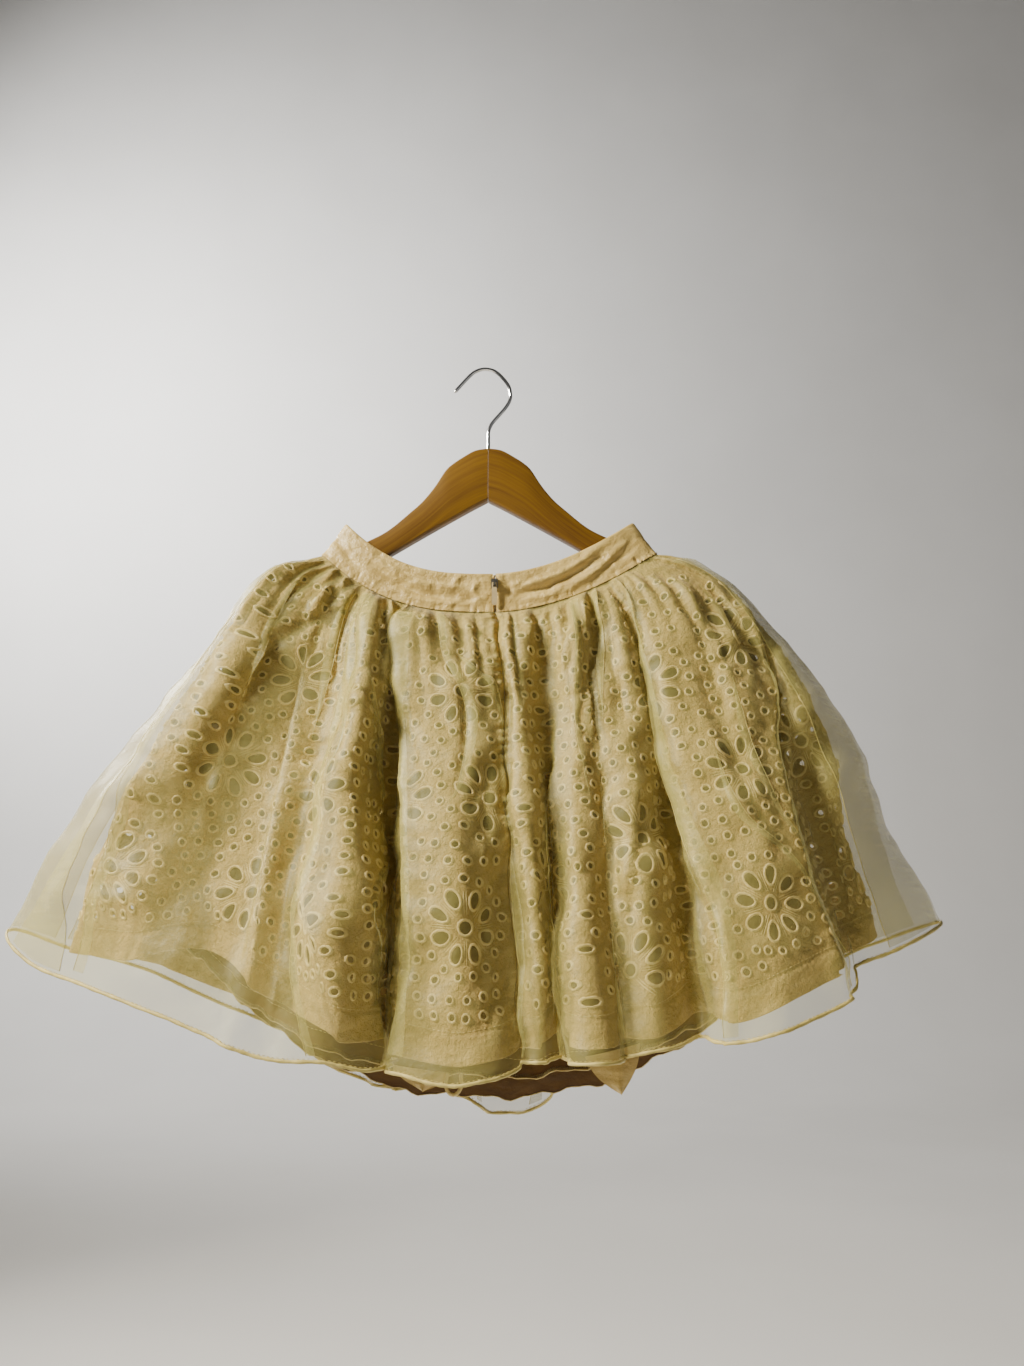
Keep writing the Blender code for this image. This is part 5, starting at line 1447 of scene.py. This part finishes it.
def build_organza(name, start, end, pattern, organza, cloths, rng):
    """Organza panel, its rolled hem, and the strips where it lies double."""
    far = start == SIDE_RIGHT
    place = panel_places(start, end, ORGANZA_INSET, 2 if far else 1)
    rows = panel_rows(0.0 if far else ORGANZA_FINE_ROWS)
    spots = [part.ravel() for part in np.meshgrid(place, rows, indexing="ij")]
    piece = add_piece(f"organza_{name}_sheet", organza.read(*spots), grid_faces(len(place), len(rows)),
                      cloths["sheer_organza"], "organza", uv=pattern.flat(*spots))
    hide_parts(f"organza_{name}")
    edge = organza.read(place, np.ones(len(place)))
    edge[:, 2] += 0.2 * np.sin(place * 9.0)
    hem = tube(edge, 1.0 + 0.12 * np.sin(place * 23.0), sides=6, squash=1.5)
    normals = organza.read(place, np.ones(len(place)), 1.0) - edge
    sewn = stitches(edge + np.array([0.0, 0.0, 1.9]), normals, 2.2, 1.6, 0.22, 0.3, 0.15, rng)
    strips, edges = organza_strips(start, end, organza, pattern)
    return piece, [add_trim(f"organza_hem_{name}", [hem, sewn], cloths["organza_hem"], "organza"),
                   add_trim(f"organza_folds_{name}", strips, cloths["organza_double"], "organza"),
                   add_trim(f"organza_edges_{name}", edges, cloths["organza_fold_edge"], "organza")]


def organza_strips(start, end, organza, pattern):
    """Strips where the organza lies double, and their folded edges."""
    strips, edges = [], []
    for width, line in ORGANZA_STRIPS:
        if start == SIDE_RIGHT:
            line = [(mirrored(place) + 0.4, level) for place, level in line]
            width = -width
        if not start < line[len(line) // 2][0] < end:
            continue
        path = smooth_line(line, 12)
        along = np.linspace(0.0, 1.0, len(path))
        taper = 1.0 + 0.3 * np.sin(5.0 * along + path[0, 0])
        if path[0, 1] > 0.08:
            taper = taper * smoothstep((along + 0.03) / 0.4)
        if path[-1, 1] < 0.95:
            taper = taper * smoothstep((1.03 - along) / 0.5)
        columns = []
        for share in (0.0, 0.06, 0.3, 0.6, 0.9, 1.0):
            spots = pattern.around_centre(*path.T, width * share * taper, np.zeros(len(path)))
            lift = 0.25 + 0.75 * math.sin(math.pi * min(share + 0.12, 1.0)) * taper
            columns.append(organza.read(*spots, lift))
        strips.append((np.concatenate(columns), grid_faces(len(columns), len(path))))
        edges.append(tube(columns[0], 0.26 * np.minimum(taper, 1.0) + 0.04, sides=6))
    return strips, edges


def band_lines(start, place, along, rng):
    """Creases and puckers of the band: depth, width, and a line of length and height in millimetres."""
    lines = []
    for depth, width, line in BAND_CREASES:
        if start == SIDE_RIGHT:
            line = [(2 * SIDE_RIGHT - where, share) for where, share in line][::-1]
        if place[0] <= line[len(line) // 2][0] <= place[-1]:
            line = [(np.interp(where, place, along), BAND_HEIGHT * share) for where, share in line]
            lines.append((1.4 * depth, 1.25 * width, line))
    for _ in range(int(along[-1] / 9.0)):
        x, y = rng.uniform(0.0, along[-1]), rng.uniform(5.0, 31.0)
        turn, half = rng.normal(0.1, 0.45), rng.uniform(4.0, 17.0)
        dx, dy = half * math.cos(turn), half * math.sin(turn)
        depth, width = rng.uniform(-1.3, 1.0), rng.uniform(1.8, 4.0)
        lines.append((depth, width, [(x - dx, y - dy), (x, y + rng.uniform(-2.0, 2.0)), (x + dx, y + dy)]))
    for _ in range(int(along[-1] / 5.0)):
        x, y = rng.uniform(0.0, along[-1]), rng.uniform(3.0, 9.0)
        depth, width = rng.uniform(-0.75, -0.2), rng.uniform(0.8, 1.5)
        lines.append((depth, width, [(x, -2.0), (x + rng.uniform(-1.5, 1.5), y)]))
    return lines


def band_wrinkles(start, place, along, heights, rng):
    """Relief of the satin band, for each place and height."""
    result = np.zeros((len(place), len(heights)))
    spots = np.stack(np.meshgrid(along, heights, indexing="ij"), -1)
    for depth, width, line in band_lines(start, place, along, rng):
        path = smooth_line(line, 36)
        near = np.flatnonzero((along > path[:, 0].min() - 8.0) & (along < path[:, 0].max() + 8.0))
        if not len(near):
            continue
        away = np.linalg.norm(spots[near][:, :, None] - path, axis=-1)
        fade = np.sin(np.linspace(0.0, math.pi, len(path))) ** 0.6
        result[near] += depth * bell(away.min(axis=-1), width) * fade[away.argmin(axis=-1)]
    return result


def band_profile():
    """Section of the band, up outside, over its fold and down inside: shares of its height, and sides."""
    outside = [(share, 1.0 + 0.9 * math.exp(-(12.0 * share) ** 2)) for share in np.linspace(0.0, 0.965, 25)]
    fold = [(0.985, 0.75), (1.0, 0.1), (0.99, -0.6), (0.965, -1.0)]
    inside = [(share, -1.0) for share in np.linspace(0.9, 0.0, 7)]
    return np.array(outside + fold + inside).T


def build_waistband(name, start, end, cloths, rng):
    """Folded satin band: outer face, rounded top fold and inner face."""
    gap = 0.5 * ZIP_GAP_IN_BAND / BAND_PLACE
    first, last = (gap if fold == ZIP_FOLD else BAND_INSET for fold in (start, end))
    place = np.linspace(start + first, end - last, 1000)
    along = lengths_along(waist_loop(waist_angle(place))[0])
    place = np.interp(np.linspace(0.0, along[-1], int(along[-1] / BAND_COLUMN)), along, place)
    low, out = waist_loop(waist_angle(place))
    along = lengths_along(low)
    shift = (BAND_TOP_NARROWING - 1.0) * (low[:, 0] - WAIST_CENTRE_X)
    rise = np.sqrt(BAND_HEIGHT ** 2 - shift ** 2)
    ends = smoothstep(np.minimum(along, along[-1] - along) / 3.0)
    shares, sides = band_profile()
    relief = band_wrinkles(start, place, along, BAND_HEIGHT * shares, rng)
    rows = []
    for share, side, wrinkles in zip(shares, sides, relief.T):
        height = side * (0.55 + 0.45 * ends) * 0.5 * BAND_WALL + wrinkles * ends
        point = low + out * height[:, None]
        point[:, 0] += shift * share
        point[:, 2] += 0.3 + rise * share
        rows.append(point)
    count = len(rows)
    faces = grid_faces(len(place), count).tolist()
    for base, flip in ((0, 1), ((len(place) - 1) * count, -1)):
        for k in range(count // 2):
            quad = [base + k, base + k + 1, base + count - 2 - k, base + count - 1 - k]
            if len(set(quad)) == 4:
                faces.append(quad[::flip])
    uv = np.stack([np.repeat(along, count), np.tile(shares * BAND_HEIGHT, len(place))], -1)
    piece = add_piece(f"waistband_{name}_satin", np.stack(rows, axis=1).reshape(-1, 3), faces,
                      cloths["waistband_satin"], "waistband", uv=uv, sharp=60)
    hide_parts(f"waistband_{name}")
    seam = low + out * 1.0 + np.array([0.0, 0.0, 1.6])
    sewn = stitches(seam, out, 2.0, 1.1, 0.3, 0.25, 0.1, rng)
    return piece, [add_trim(f"band_stitches_{name}", [sewn], cloths["embroidery_thread"], "waistband")]


def lining_grid(angles, levels):
    """Middle of the lining on a grid of angles round the waist and levels."""
    waist, out = waist_loop(angles)
    from_zip = (angles - fold_angle(ZIP_FOLD)) * WAIST_HALF_WIDTH
    room = LINING_ZIP_ROOM * bell(from_zip, LINING_ZIP_REACH)
    across = -np.cos(angles)
    side = np.minimum(np.abs(across), 1.0)
    near = np.sin(angles) >= 0.0
    rings = [waist - out * (LINING_OFFSET_TOP + room)[:, None]]
    for level, left_x, right_x, near_y, far_y, near_z, side_z, far_z, square in LINING_RINGS:
        reach = (1.0 - side ** square) ** (1.0 / square)
        wave = LINING_WAVE * level * np.sin(LINING_WAVES * angles) * reach
        middle_z = np.where(near, near_z, far_z)
        rings.append(np.stack([0.5 * (left_x + right_x) + 0.5 * (right_x - left_x) * across,
                               np.where(near, near_y, far_y) * reach - wave,
                               middle_z + (side_z - middle_z) * side ** LINING_SAG_POWER], -1))
    return np.einsum("lk,kac->alc", hermite_weights(LINING_LEVELS, levels), np.stack(rings))


def build_lining(name, start, end, cloths, rng):
    """Plain lining with soft folds and an overcast hem, and at the back its turned corners and loop."""
    thread = cloths["embroidery_thread"]
    first, last = fold_angle(start), fold_angle(end)
    columns, rows = LINING_GRID
    angles = np.linspace(first + 0.002, last - 0.002, columns)
    levels = np.linspace(0.0, 1.0, rows)
    base = lining_grid(angles, levels)
    normals = grid_normals(base, closed=False)
    relief = np.zeros(base.shape[:2])
    for index in range(LINING_FOLDS):
        centre = first + (last - first) * (index + rng.uniform(0.2, 0.8)) / LINING_FOLDS
        lean = rng.uniform(-0.08, 0.08)
        away = (angles[:, None] - centre - lean * levels[None, :]) * WAIST_HALF_WIDTH * 1.5
        relief += rng.uniform(-4.5, 1.5) * bell(away, rng.uniform(5.0, 11.0)) * (levels ** 1.5)[None, :]
    relief -= 0.5 * bell(levels - LINING_HEM_LEVEL, 0.004)[None, :]
    points = base + normals * relief[..., None]
    swing = np.sin(angles * 21.0 + 1.3) + 0.8 * np.sin(angles * 47.0) + 0.5 * np.sin(angles * 90.0 + 0.6)
    points[:, :, 2] += 1.6 * swing[:, None] * (levels ** 4)[None, :]
    length = lengths_along(points)
    uv = np.stack([length, np.broadcast_to(levels * FLAT_LEVEL, length.shape)], -1).reshape(-1, 2)
    # The lining is drawn in its satin with painted shade, dark brown instead of pale
    piece = add_piece(f"lining_{name}_satin", points.reshape(-1, 3), grid_faces(columns, rows),
                      cloths["lining_satin"], "lining", uv=uv)
    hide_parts(f"lining_{name}")
    sewn = stitches(points[:, LINING_HEM_ROW], normals[:, LINING_HEM_ROW], 2.4, 1.2, 0.25, 0.3, 0.05, rng)
    overcast = serging(points[:, -1], normals[:, -1], 3.0, 1.4)
    trims = [add_trim(f"lining_edge_{name}", [overcast, sewn], thread, "lining")]
    if name == "back":
        corners = [turned_corner(*corner) for corner in TURNED_CORNERS]
        trims.append(add_trim("lining_corners", corners, cloths["waistband_satin"], "lining"))
        loop = tube(smooth_line(HEM_LOOP, 8), 1.5, sides=8, squash=0.3, up=(0.0, 1.0, 0.0))
        trims.append(add_trim("hem_loop", [loop], thread, "lining"))
    return piece, trims


def turned_corner(start, end, tip, depth):
    """Bit of the lining's hem turned outwards: a soft triangle with a rolled edge."""
    start, end, tip = (np.asarray(point, float) for point in (start, end, tip))
    across, down = np.linspace(0.0, 1.0, 15), np.linspace(0.0, 1.0, 11)
    points = []
    for a in across:
        top = start + (end - start) * a
        for d in down:
            point = top + (tip - top) * d + (end - start) * 0.22 * (a - 0.5) * math.sin(math.pi * d)
            point[1] -= depth * math.sin(math.pi * a) * (1.0 - 0.6 * d) + 0.9 * math.sin(9.0 * a + 4.0 * d)
            points.append(point)
    return np.array(points), grid_faces(len(across), len(down))


def serging(edge, normals, height, pitch):
    """Overlock stitches along an edge: a zigzag thread over it and a cord on it."""
    lengths = lengths_along(edge)
    at = np.arange(0.5, lengths[-1] - 0.5, 0.5 * pitch)
    spot = read_line(edge, lengths, at)
    out = unit(read_line(normals, lengths, at))
    high = (np.arange(len(at)) % 2 == 0)[:, None]
    zigzag = spot + out * 0.45 + np.array([0.0, 0.0, 1.0]) * np.where(high, height, -0.2)
    cord = spot + np.array([0.0, 0.0, -0.1])
    return joined([tube(zigzag, 0.3, sides=4), tube(cord, 0.5, sides=5)])


def build_hanger_half(name, side, surface):
    """One arm of the hanger: rounded sections from the centre joint out to the tip."""
    top = even_line(smooth_line(HANGER_TOP_EDGE + HANGER_BOTTOM_EDGE[:1], 4), HANGER_RINGS)
    bottom = even_line(smooth_line(HANGER_BOTTOM_EDGE[::-1], 4), HANGER_RINGS)
    turns = np.linspace(0.0, 0.5 * math.pi, 5)
    points, uv = [], []
    for index, ((x0, z0), (x1, z1)) in enumerate(zip(top, bottom)):
        length = math.hypot(x0 - x1, z0 - z1)
        ux, uz = (x0 - x1) / max(length, 1e-6), (z0 - z1) / max(length, 1e-6)
        deep = 0.5 * HANGER_THICKNESS * (0.35 + 0.65 * smoothstep((HANGER_RINGS - 1 - index) / 6.0))
        round_y, round_z = min(HANGER_CORNER, 0.9 * deep), min(HANGER_CORNER, 0.45 * length)
        for quadrant, (sign_y, sign_z) in enumerate(((1, 1), (-1, 1), (-1, -1), (1, -1))):
            for turn in (turns if quadrant % 2 == 0 else turns[::-1]):
                y = sign_y * (deep - round_y + round_y * math.cos(turn))
                rise = sign_z * (0.5 * length - round_z + round_z * math.sin(turn))
                x = side * max(0.5 * (x0 + x1) + ux * rise, 0.5 * HANGER_JOINT_GAP)
                z = 0.5 * (z0 + z1) + uz * rise + x * math.sin(HANGER_TILT)
                points.append((HANGER_CENTRE_X + x * math.cos(HANGER_TILT), y, z))
                uv.append((side * 400.0 + 0.5 * (x0 + x1) * 1.15, rise + 0.3 * y))
    faces = [face[::side] for face in closed_faces(HANGER_RINGS, 4 * len(turns))]
    piece = add_piece(f"{name}_wood", points, faces, surface, "wood", uv=uv, sharp=40)
    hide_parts(name)


def build_hook(surface):
    """Wire of the hook, thinner at its free end."""
    path = even_line(smooth_line([(x, 0.0, z) for x, z in HOOK_PATH], 8), 150)
    radius = np.full(len(path), 0.5 * HOOK_WIRE)
    radius[-3:] = 1.6, 1.25, 0.5
    points, faces = tube(path, radius, sides=20, up=(0.0, 1.0, 0.0))
    piece = add_piece("hook_wire", points, faces, surface, "hook_wire", sharp=60)
    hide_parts("hanger_hook")


def rounded_block(centre, size, edge):
    """Small block with its edges cut."""
    x, y, z = (0.5 * part for part in size)
    points = []
    for height, inset in ((-z, edge), (-z + edge, 0.0), (z - edge, 0.0), (z, edge)):
        cut = edge + inset
        for sx, sy in ((1, 1), (-1, 1), (-1, -1), (1, -1)):
            first = (sx * (x - inset), sy * (y - cut), height)
            second = (sx * (x - cut), sy * (y - inset), height)
            points += [first, second] if sx * sy > 0 else [second, first]
    return np.array(points) + np.asarray(centre, float), closed_faces(4, 8)


def build_zip(lace, metal, tape):
    """Zip tapes behind the slit, with its teeth: open above the slider and closed below it."""
    low, out = (values[0] for values in waist_loop(waist_angle(np.array([float(ZIP_FOLD)]))))
    shares = np.linspace(0.985, 0.02, 14)
    line = [low - out * 1.9 + np.array([0.0, 0.0, 0.3 + BAND_HEIGHT * share]) for share in shares]
    levels = np.linspace(0.012, ZIP_END_LEVEL, 40)
    below = lace.read(np.full(len(levels), float(ZIP_FOLD)), levels)
    below[:, 1] += 0.9
    path = np.concatenate([np.array(line), below])
    parts = []
    for side in (-1, 1):
        edge = path + np.array([side * 0.25, 0.0, 0.0])
        outer = path + np.array([side * 4.2, 0.7, 0.0])
        parts.append((np.stack([edge, outer], axis=1).reshape(-1, 3), grid_faces(len(path), 2)))
    tapes = add_trim("zip_tape", parts, tape, "zip")
    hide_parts("zip_chain")
    top = path[0][2]
    order = np.argsort(path[:, 2])
    teeth = []
    for index, z in enumerate(np.arange(path[-1][2] + 1.0, top - 1.0, 0.75)):
        x, y = (np.interp(z, path[order, 2], path[order, axis]) for axis in (0, 1))
        side = 1 if index % 2 else -1
        apart = 0.85 if z > PULL_AXIS_Z + 4.0 else 0.35
        teeth.append(rounded_block((x + side * apart, y - 0.35, z), (1.3, 0.9, 0.62), 0.16))
    teeth.append(rounded_block((low[0], path[0][1] - 0.4, top - 1.2), (2.8, 1.2, 1.6), 0.35))
    add_piece("zip_teeth", *joined(teeth), metal, "zip", sharp=50)


def add_light(name, place, target, size, power, colour):
    light = bpy.data.lights.new(name, "AREA")
    light.shape = "RECTANGLE"
    light.size, light.size_y = size
    light.energy = power
    light.spread = LAMP_SPREAD
    light.color = colour
    lamp = add_object(name, light)
    lamp.location = place
    lamp.rotation_euler = (Vector(target) - Vector(place)).to_track_quat("-Z", "Y").to_euler()


def build_stage():
    """Pale floor that runs up softly behind the skirt, the world and the lamps."""
    result, tree, shader = new_material("stage")
    place = tree.nodes.new("ShaderNodeTexCoord").outputs["Object"]
    colour = colour_mix(tree, noise(tree, place, 1.2), STAGE_COLOUR, STAGE_COLOUR_FAR)
    tree.links.new(colour, shader.inputs["Base Color"])
    set_values(shader, Roughness=0.9)
    line = [(-4.0, 0.0), (WALL_FOOT, 0.0)]
    line += [(WALL_FOOT + WALL_BEND * math.sin(turn), WALL_BEND - WALL_BEND * math.cos(turn))
             for turn in np.linspace(0.15, 0.5 * math.pi, 12)]
    line += [(WALL_FOOT + WALL_BEND, WALL_HEIGHT)]
    mesh = bpy.data.meshes.new("floor")
    points = [(x, y, FLOOR_Z + z) for y, z in line for x in (-5.0, 5.0)]
    faces = [(2 * k, 2 * k + 1, 2 * k + 3, 2 * k + 2) for k in range(len(line) - 1)]
    mesh.from_pydata(points, [], faces)
    mesh.shade_smooth()
    mesh.materials.append(result)
    floor = add_object("floor", mesh)
    world = bpy.data.worlds.new("studio")
    world.use_nodes = True
    background = world.node_tree.nodes["Background"]
    background.inputs["Color"].default_value = (*WORLD_COLOUR, 1.0)
    background.inputs["Strength"].default_value = WORLD_STRENGTH
    bpy.context.scene.world = world
    for lamp in LAMPS:
        add_light(*lamp)


def build_camera():
    camera = bpy.data.cameras.new("camera")
    camera.lens = CAMERA_LENS
    camera.sensor_width = 36.0
    camera.clip_start = 0.02
    view = add_object("camera", camera)
    view.location = CAMERA_PLACE
    view.rotation_euler = (math.radians(90.0 + CAMERA_PITCH), 0.0, 0.0)
    bpy.context.scene.camera = view


def build_scene():
    rng = np.random.default_rng(SEED)
    cloths = {name: woven(name, **look) for name, look in CLOTHS.items()}
    enamel = metal_material("pull_enamel", ENAMEL_COLOUR, 0.34, metallic=0.0)
    chrome = metal_material("hook_chrome", CHROME_COLOUR, 0.13)
    nickel = metal_material("zip_nickel", NICKEL_COLOUR, 0.3)
    wood = wood_material()
    pattern, lace, organza = cloth_layers(rng)
    build_hanger_half("hanger_left", -1, wood)
    build_hanger_half("hanger_right", 1, wood)
    build_hook(chrome)
    for name, start, end in PANELS:
        piece, trims = build_lace(name, start, end, pattern, lace, cloths, rng)
        piece, trims = build_organza(name, start, end, pattern, organza, cloths, rng)
        piece, trims = build_waistband(name, start, end, cloths, rng)
    for name, start, end in (("back", SIDE_LEFT, SIDE_RIGHT), ("front", SIDE_RIGHT, FOLD_COUNT)):
        piece, trims = build_lining(name, start, end, cloths, rng)
    build_zip(lace, nickel, cloths["embroidery_thread"])
    for name in ("zip_slider", "zip_pull"):
        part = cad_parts[name]
        part.data.materials.clear()
        part.data.materials.append(enamel if name == "zip_pull" else nickel)
        bevel = part.modifiers.new("edges", "BEVEL")
        bevel.width = 0.22 * MM
        bevel.segments = 2
        bevel.limit_method = "ANGLE"
    build_stage()
    build_camera()


build_scene()
